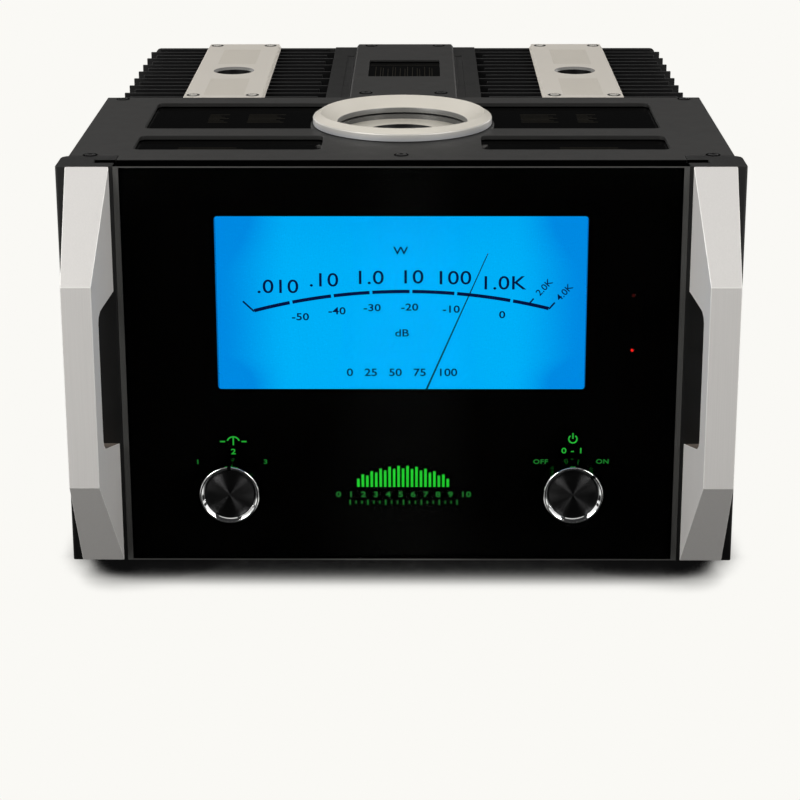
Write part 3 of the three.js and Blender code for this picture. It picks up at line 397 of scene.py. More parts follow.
add_look("nut_black", (0.035, 0.035, 0.037), 0.28, grain(1400.0, 0.00001))
add_look("nut_red", (0.42, 0.02, 0.015), 0.28, grain(1400.0, 0.00001))


def tint_where(tree, mask, colour):
    """Mixes a colour into the finish where the mask is 1."""
    tint = tree.nodes["Principled BSDF"].inputs["Base Color"].links[0].from_socket
    shade_with(tree, Base_Color=mixed_colour(tree, mask, tint, colour))


def paint_shade_below(look, level, metallic):
    """Blackens a finish below a level as painted shade, and gives it this much metal above."""
    edge = 0.5
    tree = look.node_tree
    height = split(tree, place(tree))["Z"]
    depth = ranged(tree, height, (level - edge) * MM, level * MM, 1.0, 0.0)
    tint_where(tree, depth, (0.008, 0.008, 0.008, 1))
    shade_with(tree, Metallic=times(tree, math_node(tree, "SUBTRACT", 1.0, depth), metallic))


RING_BORE = 45.2
RING_RADIUS = span("top_ring")[1][0]


def from_ring_axis(tree):
    """Distance from the axis of the ring, in metres."""
    offset = vector_math(tree, "SUBTRACT", place(tree), at(RING_X, RING_Y, 0))
    flat = vector_math(tree, "MULTIPLY", offset, (1, 1, 0))
    return vector_math(tree, "LENGTH", flat, output="Value")


def paint_ring_wall_shade(look):
    """Painted shade on the bore wall, which is grey, and a painted reflection of the dark cover on the outer
    wall, bluish grey toward its foot.
    """
    tree = look.node_tree
    radius = from_ring_axis(tree)
    height = split(tree, place(tree))["Z"]
    # Painted reflection of the dark cover on the outer wall, strongest at its foot.
    foot_low, foot_high = 293.5, 297.2
    foot = ranged(tree, height, foot_low * MM, foot_high * MM, 0.95, 0.35)
    outside = ranged(tree, radius, (RING_RADIUS - 0.9) * MM, (RING_RADIUS - 0.3) * MM)
    tint_where(tree, times(tree, outside, foot), (0.4, 0.41, 0.43, 1))
    # Painted shade on the bore wall.
    bore = ranged(tree, radius, (RING_BORE + 0.1) * MM, (RING_BORE + 0.5) * MM, 1.0, 0.0)
    tint_where(tree, bore, (0.16, 0.16, 0.155, 1))


def lined_disc():
    """Cream flange with a black middle under the ring, and painted shade on the wall beyond the flange."""
    made = surface("ring_liner", (0.69, 0.655, 0.58), 0.4, RING_STROKES, shade=0.05)
    tree = made.node_tree
    middle_radius, metallic = 26.6, 0.3
    radius = from_ring_axis(tree)
    # Painted shade on the liner's wall beyond the flange, inside the ring's bore.
    flange = ranged(tree, radius, (RING_BORE - 0.5) * MM, (RING_BORE - 0.2) * MM)
    tint_where(tree, flange, (0.1, 0.1, 0.097, 1))
    middle = ranged(tree, radius, middle_radius * MM, (middle_radius + 0.2) * MM, 1.0, 0.0)
    tint_where(tree, middle, (0.004, 0.004, 0.004, 1))
    shade_with(tree, Metallic=ranged(tree, middle, 0.0, 1.0, metallic, 0.0))
    return made


PLATE_DEPTH = 2.8
# Painted shade on the plates where they lie deeper than their top, as in the holes.
paint_shade_below(LOOKS["plate_aluminium"], PANEL_TOP - PLATE_DEPTH, 0.25)
paint_ring_wall_shade(LOOKS["ring_aluminium"])
RING_LINER = lined_disc()
# Painted highlight: a lighter, smoother aluminium on the softened edges of the handles.
HANDLE_EDGE_HIGHLIGHT = surface("handle_edge", (0.88, 0.87, 0.85), 0.4, FINE_STROKES, metallic=0.2, shade=0.03)
# Painted shade: a flat black without sheen, for faces in slots and recesses where only shade is seen.
PAINTED_SHADE_BLACK = surface("painted_shade_black", grey(0.0006), 0.8, grain(900.0, 0.00001), specular=0.0)
# Painted shade: a near-black for the walls of the plate holes and the rings round the plate screws.
WELL_PAINTED_SHADE = surface("well_painted_shade", grey(0.002), 0.45, grain(1200.0, 0.00002), specular=0.3)
SCREW_BLACK = surface("screw_black", (0.02, 0.02, 0.021), 0.3, grain(1500.0, 0.00001), metallic=0.6)
SCREW_BRIGHT = surface("screw_bright", (0.62, 0.6, 0.56), 0.3, grain(1500.0, 0.000004), metallic=0.6,
                       shade=0.05)
ETCHED = surface("etched_lines", (0.5, 0.465, 0.4), 0.5, LONG_STROKES, metallic=0.25, shade=0.05)
PANE_PRINT = surface("pane_print", (0.02, 0.0165, 0.0085), 0.4, grain(500.0, 0.00001), shade=0.5,
                     specular=0.1)
DECK_BLACK = surface("deck_black", grey(0.005), 0.5, grain(2200.0, 0.00006), specular=0.22)
CAP_BLACK = surface("cap_black", grey(0.0035), 0.36, grain(2200.0, 0.00005), specular=0.42)
# Painted shade: a dark grey for the sloped upper edge of the plate holes, darker than the plate.
HOLE_EDGE_SHADE = surface("hole_edge_shade", (0.2, 0.197, 0.19), 0.5, FINE_STROKES, metallic=0.25, shade=0.3)
LEDGE_SHADE = surface("ledge_shade", (0.24, 0.2, 0.17), 0.45, ACROSS_STROKES, metallic=0.2, shade=0.15)

for source in nodes.values():
    source["slot_name"] = source.data.materials[0].name.split(".")[0]
    source.data.materials.clear()
    source.data.materials.append(LOOKS[source["slot_name"]])


# Geometry helpers


def arc(x, y, radius, start, end, steps=8):
    """Points on an arc, from start to end in degrees."""
    points = []
    for i in range(steps + 1):
        angle = math.radians(start + (end - start) * i / steps)
        points.append((x + radius * math.cos(angle), y + radius * math.sin(angle)))
    return points


def turn_about(axis, angle):
    return Matrix.Rotation(math.radians(angle), 4, axis)


def to_front(x, y, z):
    """A place whose height points to the front, with up in the drawing staying up."""
    return Matrix.Translation(at(x, y, z)) @ turn_about("X", 90)


def to_back(x, y, z):
    return Matrix.Translation(at(x, y, z)) @ turn_about("X", -90)


def upright(x, y, z):
    return Matrix.Translation(at(x, y, z))


def facing_front(x, y, z, tilt=0.0):
    """Lays a plan drawing upright, read from the front; tilt turns it anticlockwise in degrees."""
    return to_front(x, y, z) @ turn_about("Z", tilt)


def facing_back(x, y, z):
    """Lays a plan drawing upright, read from behind."""
    return Matrix.Translation(at(x, y, z)) @ turn_about("Z", 180) @ turn_about("X", 90)


CAPITAL_SHARE = 0.73


class Shape:
    """Collects solid forms in millimetres and turns them into one visual piece."""

    def __init__(self):
        self.bm = bmesh.new()

    def box(self, low, high):
        corners = []
        for x in (low[0], high[0]):
            for y in (low[1], high[1]):
                for z in (low[2], high[2]):
                    corners.append(self.bm.verts.new(at(x, y, z)))
        sides = ((0, 1, 3, 2), (4, 6, 7, 5), (0, 4, 5, 1), (2, 3, 7, 6), (0, 2, 6, 4), (1, 5, 7, 3))
        for side in sides:
            self.bm.faces.new([corners[i] for i in side])
        return self

    def lathe(self, matrix, profile, sides=64, start=0.0, end=360.0, ripple=None):
        """profile is a list of (radius, height) in millimetres, closed when its ends meet.

        ripple(angle, radius) gives how far the wall sinks there, in millimetres.
        """
        whole = end - start >= 360
        steps = sides if whole else sides + 1
        rings, made = [], []
        for radius, height in profile:
            if radius == 0:
                vert = self.bm.verts.new(Vector((0, 0, height)) * MM)
                rings.append([vert] * steps)
                made.append(vert)
                continue
            ring = []
            for i in range(steps):
                angle = math.radians(start + (end - start) * i / sides)
                reach = radius - ripple(angle, radius) if ripple else radius
                spot = Vector((reach * math.cos(angle), reach * math.sin(angle), height)) * MM
                ring.append(self.bm.verts.new(spot))
            made += ring
            rings.append(ring)
        if profile[0] == profile[-1]:
            for vert in set(rings[-1]):
                self.bm.verts.remove(vert)
                made.remove(vert)
            rings[-1] = rings[0]
        for low, high in zip(rings, rings[1:]):
            for i in range(sides):
                j = (i + 1) % steps
                self._face(low[i], low[j], high[j], high[i])
        if not whole:
            for i in (0, steps - 1):
                self._face(*[ring[i] for ring in rings])
        bmesh.ops.transform(self.bm, matrix=matrix, verts=made)
        return self

    def _face(self, *verts):
        """A face over the corners that differ, if there are enough of them."""
        corners = list(dict.fromkeys(verts))
        if len(corners) > 2:
            self.bm.faces.new(corners)

    def prism(self, outline, low, high, matrix):
        """A straight-sided solid over an outline of (x, y) points."""
        bottom = [self.bm.verts.new(Vector((x, y, low)) * MM) for x, y in outline]
        top = [self.bm.verts.new(Vector((x, y, high)) * MM) for x, y in outline]
        self.bm.faces.new(bottom[::-1])
        self.bm.faces.new(top)
        for i in range(len(outline)):
            j = (i + 1) % len(outline)
            self.bm.faces.new([bottom[i], bottom[j], top[j], top[i]])
        bmesh.ops.transform(self.bm, matrix=matrix, verts=bottom + top)
        return self

    def words(self, text, matrix, height, wide=1.0, bold=0.0, spacing=1.0, deep=0.05):
        """Raised characters in the built-in font, centred on the matrix; height is that of a capital."""
        curve = bpy.data.curves.new("words", "FONT")
        curve.body = text
        curve.size = height / CAPITAL_SHARE * MM
        curve.align_x = "CENTER"
        curve.offset = bold * MM
        curve.space_character = spacing
        curve.extrude = deep / 2 * MM
        curve.resolution_u = 6
        carrier = bpy.data.objects.new("words", curve)
        scene.collection.objects.link(carrier)
        bpy.context.view_layer.update()
        evaluated = carrier.evaluated_get(bpy.context.evaluated_depsgraph_get())
        mesh = bpy.data.meshes.new_from_object(evaluated)
        down = Matrix.Translation((0, -height / 2 * MM, 0))
        mesh.transform(matrix @ Matrix.Diagonal((wide, 1, 1, 1)) @ down)
        self.bm.from_mesh(mesh)
        bpy.data.objects.remove(carrier)
        bpy.data.curves.remove(curve)
        bpy.data.meshes.remove(mesh)
        return self

    def paint(self, index, test):
        """Gives the faces that pass test(normal, centre in millimetres) another of the piece's looks."""
        for face in self.bm.faces:
            middle = face.calc_center_median() / MM
            if test(face.normal, Vector((middle.x, middle.y + ORIGIN_Y, middle.z))):
                face.material_index = index
        return self

    def done(self, name, slot=None, body="chassis", replaces=(), look=None, edge=0.0, segments=2, smooth=32,
             more_looks=(), edge_look=-1):
        """The finished piece. edge_look is the number of the look on its softened edges, or -1 for none."""
        if edge_look < 0:
            bmesh.ops.recalc_face_normals(self.bm, faces=self.bm.faces)
        mesh = bpy.data.meshes.new(name)
        self.bm.to_mesh(mesh)
        self.bm.free()
        piece = bpy.data.objects.new(name, mesh)
        scene.collection.objects.link(piece)
        mesh.materials.append(look or LOOKS[slot])
        for extra in more_looks:
            mesh.materials.append(extra)
        soften(piece, edge, segments, smooth, edge_look)
        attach(piece, body)
        if replaces:
            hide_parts(*replaces)
        return piece


def soften(piece, edge, segments, smooth, edge_look):
    """Smooth shading with sharp edges over the angle smooth, and a bevel of width edge on those."""
    piece.data.shade_smooth()
    piece.data.set_sharp_from_angle(angle=math.radians(smooth))
    if edge:
        modifier = piece.modifiers.new("edges", "BEVEL")
        modifier.width = edge * MM
        modifier.segments = segments
        modifier.limit_method = "ANGLE"
        modifier.angle_limit = math.radians(smooth)
        modifier.use_clamp_overlap = True
        modifier.harden_normals = True
        modifier.material = edge_look


MERGE_DISTANCE = 0.002
FLAT_ANGLE = 0.6


def refine(name, edge=0.3, segments=2, smooth=25, look=None, paint=(), edge_look=None, work=None):
    """A copy of a CAD node with joined flat faces and softened edges, shown in its place.

    paint is a list of (look, test) pairs, edge_look a look for the softened edges, work a step on the mesh.
    """
    source = nodes[name]
    shape = Shape()
    shape.bm.from_mesh(source.data)
    bm = shape.bm
    bmesh.ops.remove_doubles(bm, verts=bm.verts, dist=MERGE_DISTANCE * MM)
    bmesh.ops.dissolve_limit(bm, angle_limit=math.radians(FLAT_ANGLE), verts=bm.verts, edges=bm.edges)
    for layer in list(bm.loops.layers.float_vector):
        bm.loops.layers.float_vector.remove(layer)
    if work:
        work(bm)
    bmesh.ops.recalc_face_normals(bm, faces=bm.faces)
    bm.normal_update()
    looks = []
    for extra, test in paint:
        looks.append(extra)
        shape.paint(len(looks), test)
    edge_number = -1
    if edge_look:
        looks.append(edge_look)
        edge_number = len(looks)
    return shape.done(name + "_shown", source["slot_name"], source["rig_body"], (name,), look, edge, segments,
                      smooth, more_looks=looks, edge_look=edge_number)


def screw(shape, matrix, radius, height=1.0, recess=0.55):
    """A low domed head with a six-sided socket, its seat at height zero."""
    socket = radius * 0.46
    mouth = socket * 1.3
    dome = [(radius, 0), (radius, height * 0.35), (radius * 0.9, height * 0.8), (socket * 1.35, height),
            (mouth, height)]
    shape.lathe(matrix, dome, 24)
    bottom = height - recess
    shape.lathe(matrix, [(mouth, height), (socket, height - 0.02), (socket, bottom), (0, bottom)], 6)


# Front panel


MIDDLE_Z = centre("front_frame")[2]
SLOT_FRONT, SLOT_BACK = 15, 25


def in_slot(normal, spot):
    """True on the far wall and the floor of the slot behind the front frame."""
    far_wall = normal.y < -0.5 and SLOT_FRONT < spot.y < SLOT_BACK
    slot_floor = normal.z > 0.5 and MIDDLE_Z < spot.z < PANEL_TOP - 1
    return far_wall or slot_floor


def on_ledge(normal, spot):
    """True on the lower end of the opening behind a handle, which mirrors the dark opening."""
    return normal.z > 0.5 and spot.z < MIDDLE_Z


def faces_up(normal, spot):
    return normal.z > 0.5


def housing_sides(normal, spot):
    """True on the inner side walls, which get a painted blue glow for the dial's light on them."""
    return normal.x * spot.x < 0 and abs(normal.x) > 0.9


def sheet_edge(normal, spot):
    return abs(normal.y) < 0.5


# The softened edges of the handles get a painted highlight.
for side in ("left", "right"):
    refine(f"handle_{side}", 0.4, 3, 12, paint=[(LEDGE_SHADE, on_ledge)], edge_look=HANDLE_EDGE_HIGHLIGHT)
# The slot faces of the end caps get painted shade.
for side in ("left", "right"):
    refine(f"end_cap_{side}", 1.1, 4, look=CAP_BLACK, paint=[(PAINTED_SHADE_BLACK, in_slot)])
# The upper faces of the front frame get painted shade, as part of the dark slot above it.
refine("front_frame", 0.25, paint=[(PAINTED_SHADE_BLACK, faces_up)])
# Painted light: the inner side walls of the housing glow blue, as if lit by the dial.
PAINTED_DIAL_LIGHT = lit("housing_painted_dial_light", (0.0, 0.17, 0.55), 0.8)
refine("meter_housing", paint=[(PAINTED_DIAL_LIGHT, housing_sides)])
# The edges of the glass sheet get painted shade.
refine("front_glass", paint=[(PAINTED_SHADE_BLACK, sheet_edge)])

# Lit print on the back of the glass

GREEN = (0.012, 0.58, 0.025)
LIT_BRIGHT = lit("legend_bright", GREEN, 1.0)
LIT_MIDDLE = lit("legend_middle", (0.02, 0.45, 0.04), 0.9)
LIT_DIM = lit("legend_dim", (0.012, 0.2, 0.025), 0.9)
PRINT_Y = span("front_glass")[1][1] + 0.15
FILM = 0.05
LINE = 0.9
SMALL_CAPITAL = 3.2
TITLE_CAPITAL = 3.9
NUMBER_CAPITAL = 3.8


def panel_words(shape, text, x, z, height, wide=1.3):
    shape.words(text, facing_front(x, PRINT_Y, z), height, wide, bold=0.08, spacing=1.12)


def panel_bar(shape, x, z, wide, tall):
    low = (x - wide / 2, PRINT_Y - FILM, z - tall / 2)
    high = (x + wide / 2, PRINT_Y + FILM, z + tall / 2)
    shape.box(low, high)


def panel_arc(shape, x, z, radius, start, end):
    outline = arc(0, 0, radius, start, end, 24) + arc(0, 0, radius - LINE, end, start, 24)
    shape.prism(outline, -FILM, FILM, facing_front(x, PRINT_Y, z))


def arrow_sign(shape, x, z):
    """An upright arrow with a bowed head and a short dash on each side."""
    panel_arc(shape, x, z, 4.6, 20, 160)
    panel_bar(shape, x, z + 1.0, LINE, 5.4)
    for side in (-1, 1):
        panel_bar(shape, x + side * 7.2, z + 0.8, 3.4, LINE)


def power_sign(shape, x, z):
    """An open circle with a short bar in its gap."""
    panel_arc(shape, x, z, 3.2, -235, 55)
    panel_bar(shape, x, z + 2.2, LINE, 4.0)


def level_bars():
    """A low hump of bars, taller and shorter by turns."""
    count, step, wide, foot = 21, 3.0, 1.7, 70.2
    least, hump, stagger, middle_x = 5.0, 8.0, 2.0, 1.0
    shape = Shape()
    for i in range(count):
        rise = least + hump * math.sin((i + 0.5) * math.pi / count) + stagger * (i % 2)
        panel_bar(shape, middle_x + (i - count // 2) * step, foot + rise / 2, wide, rise)
    shape.done("level_bars", look=LIT_BRIGHT)


def legend_titles():
    shape = Shape()
    arrow_sign(shape, -112.4, 101.6)
    power_sign(shape, 114.3, 104.4)
    panel_words(shape, "2", -112.5, 95.4, TITLE_CAPITAL)
    panel_words(shape, "0 - 1", 114.1, 96.3, TITLE_CAPITAL)
    shape.done("legend_titles", look=LIT_MIDDLE)


def legend_small():
    """Plain numbers beside the knobs, and a row of numbers with ticks under the level bars."""
    row_x, row_z, tick_z = 1.3, 64.9, 59.0
    count, step, wide, long, short = 19, 4.0, 0.8, 3.4, 1.8
    shape = Shape()
    panel_words(shape, "1", -136.5, 88.0, SMALL_CAPITAL)
    panel_words(shape, "3", -91.1, 88.2, SMALL_CAPITAL)
    panel_words(shape, "OFF", 93.0, 88.4, SMALL_CAPITAL, 1.2)
    panel_words(shape, "ON", 134.4, 88.6, SMALL_CAPITAL, 1.2)
    panel_words(shape, "0  1  2  3  4  5  6  7  8  9  10", row_x, row_z, NUMBER_CAPITAL)
    for i in range(count):
        panel_bar(shape, row_x + (i - count // 2) * step, tick_z, wide, long if i % 3 == 0 else short)
    shape.done("legend_small", look=LIT_DIM)


level_bars()
legend_titles()
legend_small()

# Printed scale on the lit sheet

INK = surface("dial_ink", (0.0005, 0.001, 0.006), 0.7, grain(900.0, 0.000004), specular=0.0,
              Emission_Color=(0.001, 0.005, 0.045, 1), Emission_Strength=1.0)
DIAL_Y = span("meter_dial")[0][1] - 0.1
ARC_X, ARC_Z, ARC_RADIUS = 3.0, -184.0, 387.0
ARC_HALF_WIDTH = 1.15
ARC_CUTS = (-97.5, -73, -45.6, -20.1, 6.3, 35.9, 72.9, 97.4)
CUT_HALF = 0.9
POWER_NUMBERS = ((".010", -81.7, 206.8), (".10", -51.2, 211.3), ("1.0", -21.2, 213.0), ("10", 6.9, 213.4),
                 ("100", 34.3, 212.8), ("1.0K", 67.0, 209.3))
LEVEL_NUMBERS = (("-50", -67.0, 185.7), ("-40", -42.7, 189.8), ("-30", -19.4, 192.0), ("-20", 5.4, 192.4),
                 ("-10", 32.9, 191.0), ("0", 66.7, 187.2))
OVER_NUMBERS = (("2.0K", 94.0, 206.0), ("4.0K", 107.4, 202.6))
OVER_TILT = 48
END_LINES = ((-97.6, 189.2, -104.9, 196.2, 1.1), (97.6, 191.0, 101.4, 195.4, 1.1),
             (84.6, 194.8, 87.4, 198.2, 1.0))


def scale_arc(shape, start_x, end_x):
    """A stretch of the thick scale line between two places across."""
    first = math.degrees(math.acos((start_x - ARC_X) / ARC_RADIUS))
    last = math.degrees(math.acos((end_x - ARC_X) / ARC_RADIUS))
    upper = arc(0, 0, ARC_RADIUS + ARC_HALF_WIDTH, first, last, 12)
    lower = arc(0, 0, ARC_RADIUS - ARC_HALF_WIDTH, last, first, 12)
    shape.prism(upper + lower, -FILM, FILM, facing_front(ARC_X, DIAL_Y, ARC_Z))


def ink_line(shape, x1, z1, x2, z2, width):
    length = math.hypot(x2 - x1, z2 - z1)
    half = width / 2
    matrix = facing_front(x1, DIAL_Y, z1, math.degrees(math.atan2(z2 - z1, x2 - x1)))
    shape.prism([(0, -half), (length, -half), (length, half), (0, half)], -FILM, FILM, matrix)


def scale_print():
    shape = Shape()
    last = len(ARC_CUTS) - 2
    for i, (left, right) in enumerate(zip(ARC_CUTS, ARC_CUTS[1:])):
        scale_arc(shape, left + (CUT_HALF if i > 0 else 0), right - (CUT_HALF if i < last else 0))
    for line in END_LINES:
        ink_line(shape, *line)
    for text, x, z in POWER_NUMBERS:
        shape.words(text, facing_front(x, DIAL_Y, z), 9.6, 1.2, 0.07, 1.04)
    for text, x, z in LEVEL_NUMBERS:
        shape.words(text, facing_front(x, DIAL_Y, z), 5.0, 1.25, 0.11, 1.04)
    for text, x, z in OVER_NUMBERS:
        shape.words(text, facing_front(x, DIAL_Y, z, OVER_TILT), 4.6, 1.1, 0.05)
    shape.words("W", facing_front(-0.4, DIAL_Y, 231.2), 5.4, 1.25, 0.08)
    shape.words("dB", facing_front(0.3, DIAL_Y, 174.5), 5.2, 1.25, 0.08)
    shape.words("0   25   50   75   100", facing_front(0.3, DIAL_Y, 146.9), 5.4, 1.2, 0.09)
    shape.done("scale_print", look=INK)


scale_print()

# Indicator lights

LAMP_X = centre("indicator_board")[0]
LAMP_Y = 5.2
LAMP_RADIUS = 1.0
BLACK_BEFORE = 10
RED = lit("lamp_red", (0.8, 0.012, 0.008), 1.0)
DARK_RED = lit("lamp_dark_red", (0.16, 0.01, 0.008), 0.25)


def near_glass(normal, spot):
    return spot.y < BLACK_BEFORE


# Faces of the board near the glass get painted shade.
refine("indicator_board", 0.0, smooth=32, paint=[(PAINTED_SHADE_BLACK, near_glass)])
for name, z, look in (("upper_lamp", 204.3, DARK_RED), ("lower_lamp", 166.6, RED)):
    dome = [(0, -0.12), (LAMP_RADIUS, -0.12), (LAMP_RADIUS, -0.02), (0.8, 0.07), (0.4, 0.12), (0, 0.13)]
    lamp = Shape().lathe(to_front(LAMP_X, LAMP_Y, z), dome, 32)
    lamp.done(name, look=look)


# Knobs


def spun_face_look(name, x, z):
    """Dark turned metal whose highlight fans out from the middle and stays put when the knob turns."""
    made, tree = new_look(name)
    rings = {"Centre": at(x, 0, z), "Across": (1, 0, 1), "Scale": 2600.0, "Depth": 0.0000004}
    detail = group(tree, "turned", rings)
    offset = vector_math(tree, "SUBTRACT", place(tree), at(x, 0, z))
    outward = vector_math(tree, "NORMALIZE", vector_math(tree, "MULTIPLY", offset, (1, 0, 1)))
    turned_with = node(tree, "ShaderNodeVectorTransform", {0: outward}, vector_type="VECTOR",
                       convert_from="OBJECT", convert_to="WORLD").outputs[0]
    tint = mixed_colour(tree, detail["Value"], (0.025, 0.025, 0.026, 1), (0.07, 0.07, 0.072, 1))
    rough = ranged(tree, detail["Value"], 0.3, 0.7, 0.3, 0.36)
    shade_with(tree, Base_Color=tint, Metallic=1.0, Roughness=rough, Anisotropic=1.0, Tangent=turned_with,
               Normal=detail["Normal"])
    return made


def knob(name, body, turn):
    """A turned body with its shaft, a bright rim with an index gap, and a dished face."""
    x, _, z = centre(name)
    low, high = span(name)
    matrix = to_front(x, 0, z) @ turn_about("Z", turn)
    side, front, shaft_end = (high[0] - low[0]) / 2, -low[1], -high[1]
    shaft, standoff, corner = 3, 0.6, 0.5
    outline = [(0, shaft_end), (shaft, shaft_end), (shaft, standoff), (side - 0.6, standoff),
               (side, standoff + corner), (side, front - corner), (side - corner, front), (0, front)]
    Shape().lathe(matrix, outline, 128).done(name + "_body", "knob_body", body, (name,))

    rim_low, rim_high = span(name + "_rim")
    outer, foot, crest = (rim_high[0] - rim_low[0]) / 2, -rim_high[1], -rim_low[1]
    inner, rounding, index_half = outer - 3.3, 0.8, 1.2
    outline = [(inner, foot), (inner, foot + 0.95), (inner + 0.15, foot + 1.2), (outer - 1.5, crest - 0.15),
               (outer - 1.3, crest)]
    outline += arc(outer - rounding, crest - rounding, rounding, 90, 0, 10)
    outline += [(outer, foot), (inner, foot)]
    gap = math.degrees(2 * index_half / (inner + outer))
    rim = Shape().lathe(matrix, outline, 160, 90 + gap, 450 - gap - 0.001)
    rim.done(name + "_rim_turned", "knob_rim", body, (name + "_rim",), smooth=40)

    edge = inner - 0.3
    outline = [(0, foot), (edge, foot), (edge, foot + 0.2), (edge - 0.25, foot + 0.35), (8, foot + 0.8),
               (0, foot + 1.25)]
    look = spun_face_look(name + "_face_spun", x, z)
    Shape().lathe(matrix, outline, 96).done(name + "_face_turned", "knob_face", body, (name + "_face",), look)


knob("meter_knob", "left_knob", 0)
knob("power_knob", "right_knob", -45)

# Top

# The slot faces of the cover get painted shade.
refine("top_cover", 0.5, 3, paint=[(PAINTED_SHADE_BLACK, in_slot)])
for window in ("front_window_left", "front_window_right", "rear_window_left", "rear_window_right",
               "centre_window"):
    refine(window, 0.4)


def top_ring():
    """A broad ring with a sloped bore side and a rounded crest, standing in the cover on a spigot."""
    low, high = span("top_ring")
    foot, crest = low[2], high[2]
    seat, crest_radius, spigot = PANEL_TOP + 0.3, 57.0, RING_BORE + 4
    outline = [(RING_BORE, foot), (RING_BORE, seat + 0.7), (RING_BORE + 0.2, seat + 1.2),
               (crest_radius - 0.4, crest - 0.12), (crest_radius, crest), (crest_radius + 0.5, crest - 0.2),
               (RING_RADIUS - 0.3, crest - 3.2), (RING_RADIUS, crest - 3.8), (RING_RADIUS, seat + 0.3),
               (RING_RADIUS - 0.3, seat), (spigot, seat), (spigot, foot), (RING_BORE, foot)]
    shape = Shape().lathe(upright(RING_X, RING_Y, 0), outline, 192)
    shape.done("top_ring_turned", "ring_aluminium", replaces=("top_ring",), smooth=25)


top_ring()

PLATE_X = centre("heatsink_plate_right")[0]
HOLE_FROM_BACK = 117
HOLE_Y = span("heatsink_plate_right")[1][1] - HOLE_FROM_BACK
HOLE_RADIUS = 14.3
HOLE_SLOPE = 1.9


def from_hole(spot):
    return math.hypot(abs(spot.x) - PLATE_X, spot.y - HOLE_Y)


def sink_hole(bm):
    """Slopes the upper edge of the round hole."""
    rim = []
    for line in bm.edges:
        ends = [Vector((v.co.x / MM, v.co.y / MM + ORIGIN_Y, v.co.z / MM)) for v in line.verts]
        if all(end.z > PANEL_TOP - 0.1 and from_hole(end) < HOLE_RADIUS + 0.2 for end in ends):
            rim.append(line)
    bmesh.ops.bevel(bm, geom=rim, offset=HOLE_SLOPE * MM, segments=1, affect="EDGES", clamp_overlap=False)


def in_hole(normal, spot):
    return normal.z < 0.3 and from_hole(spot) < HOLE_RADIUS + HOLE_SLOPE


def on_slope(normal, spot):
    return 0.3 < normal.z < 0.9 and from_hole(spot) < HOLE_RADIUS + HOLE_SLOPE


for side in ("left", "right"):
    # The walls and the sloped upper edge of each plate hole get painted shade.
    hole_looks = [(WELL_PAINTED_SHADE, in_hole), (HOLE_EDGE_SHADE, on_slope)]
    refine(f"heatsink_plate_{side}", 0.35, paint=hole_looks, work=sink_hole)
refine("centre_cover", 0.4, smooth=20)
refine("centre_deck", 0.25, look=DECK_BLACK)
refine("ring_liner", 0.2, look=RING_LINER)
refine("heatsink_left")
refine("heatsink_right")


def screws(name, places, radius, proud, shade_look=PAINTED_SHADE_BLACK, head_look=SCREW_BLACK, head=0.72):
    """Socket heads on the top, each in a thin ring of painted shade. head is the head's share of the ring's
    radius.
    """
    heads, shade_rings = Shape(), Shape()
    inner = radius * (head + 0.04)
    floor_level, lip, crown = -0.1, 0.12, 0.16
    shade_ring = [(inner, floor_level), (radius, floor_level), (radius, lip), (radius * 0.96, crown), (inner, 0.1),
            (inner, floor_level)]
    for x, y in places:
        screw(heads, upright(x, y, PANEL_TOP), radius * head, proud)
        # A ring of painted shade round each head.
        shade_rings.lathe(upright(x, y, PANEL_TOP), shade_ring, 48)
    heads.done(name, "black_paint", look=head_look, smooth=40)
    shade_rings.done(name + "_shade_rings", "black_paint", look=shade_look, smooth=40)


COVER_SCREWS = ((-204, 33), (204, 33), (0, 33), (-206, 216), (206, 216))
PLATE_SCREWS = [(x, y) for x in (-156, -112, 112, 156) for y in (231, 438)]
CENTRE_SCREWS = [(x, y) for x in (-28, 28) for y in (238.6, 438)]
screws("cover_screws", COVER_SCREWS, 4.8, 0.7)
screws("plate_screws", PLATE_SCREWS, 4.9, 0.8, WELL_PAINTED_SHADE, SCREW_BRIGHT, 0.64)
screws("centre_screws", CENTRE_SCREWS, 5.0, 0.7)


def plate_lines():
    """Two patches of fine cross lines on each bright plate."""
    half, step, line, sunk, proud = 15, 2.2, 0.55, 0.05, 0.03
    shape = Shape()
    for x in (-PLATE_X, PLATE_X):
        for start, end in ((232, 296), (356, 421.5)):
            for i in range(int((end - start) / step)):
                y = start + i * step
                shape.box((x - half, y, PANEL_TOP - sunk), (x + half, y + line, PANEL_TOP + proud))
    shape.done("plate_lines", "plate_aluminium", look=ETCHED)


plate_lines()


def pane_marks():
    """Faint lines that show in the dark panes: coil turns in the middle, small generic rows at the sides."""
    shape = Shape()
    sunk, proud = 0.05, 0.02

    def mark(x1, y1, x2, y2, top):
        shape.box((x1, y1, top - sunk), (x2, y2, top + proud))

    top = span("centre_window")[1][2]
    coil_turns, coil_start, coil_step, half = 15, -22.4, 3.2, 0.17
    for i in range(coil_turns):
        x = coil_start + i * coil_step + 0.7 * math.sin(i * 2.1)
        mark(x - half, 307 + (i % 3) * 4, x + half, 354 - (i % 4) * 3, top)
    mark(-27, 360.2, 27, 360.9, top)

    top = span("rear_window_left")[1][2]
    row_step, row_line = 4.2, 0.7
    for side in (-1, 1):
        for start, width in ((84, 26), (124, 14)):
            x = side * (start + width / 2)
            for i in range(7):
                y = 150 + i * row_step
                mark(x - width / 2, y, x + width / 2 - (i % 3) * 3, y + row_line, top)
        for i in range(4):
            y = 55 + i * row_step
            mark(side * 128 - 22, y, side * 128 + 22 - (i % 2) * 5, y + row_line, top)
    shape.done("pane_marks", look=PANE_PRINT)


pane_marks()

# Feet


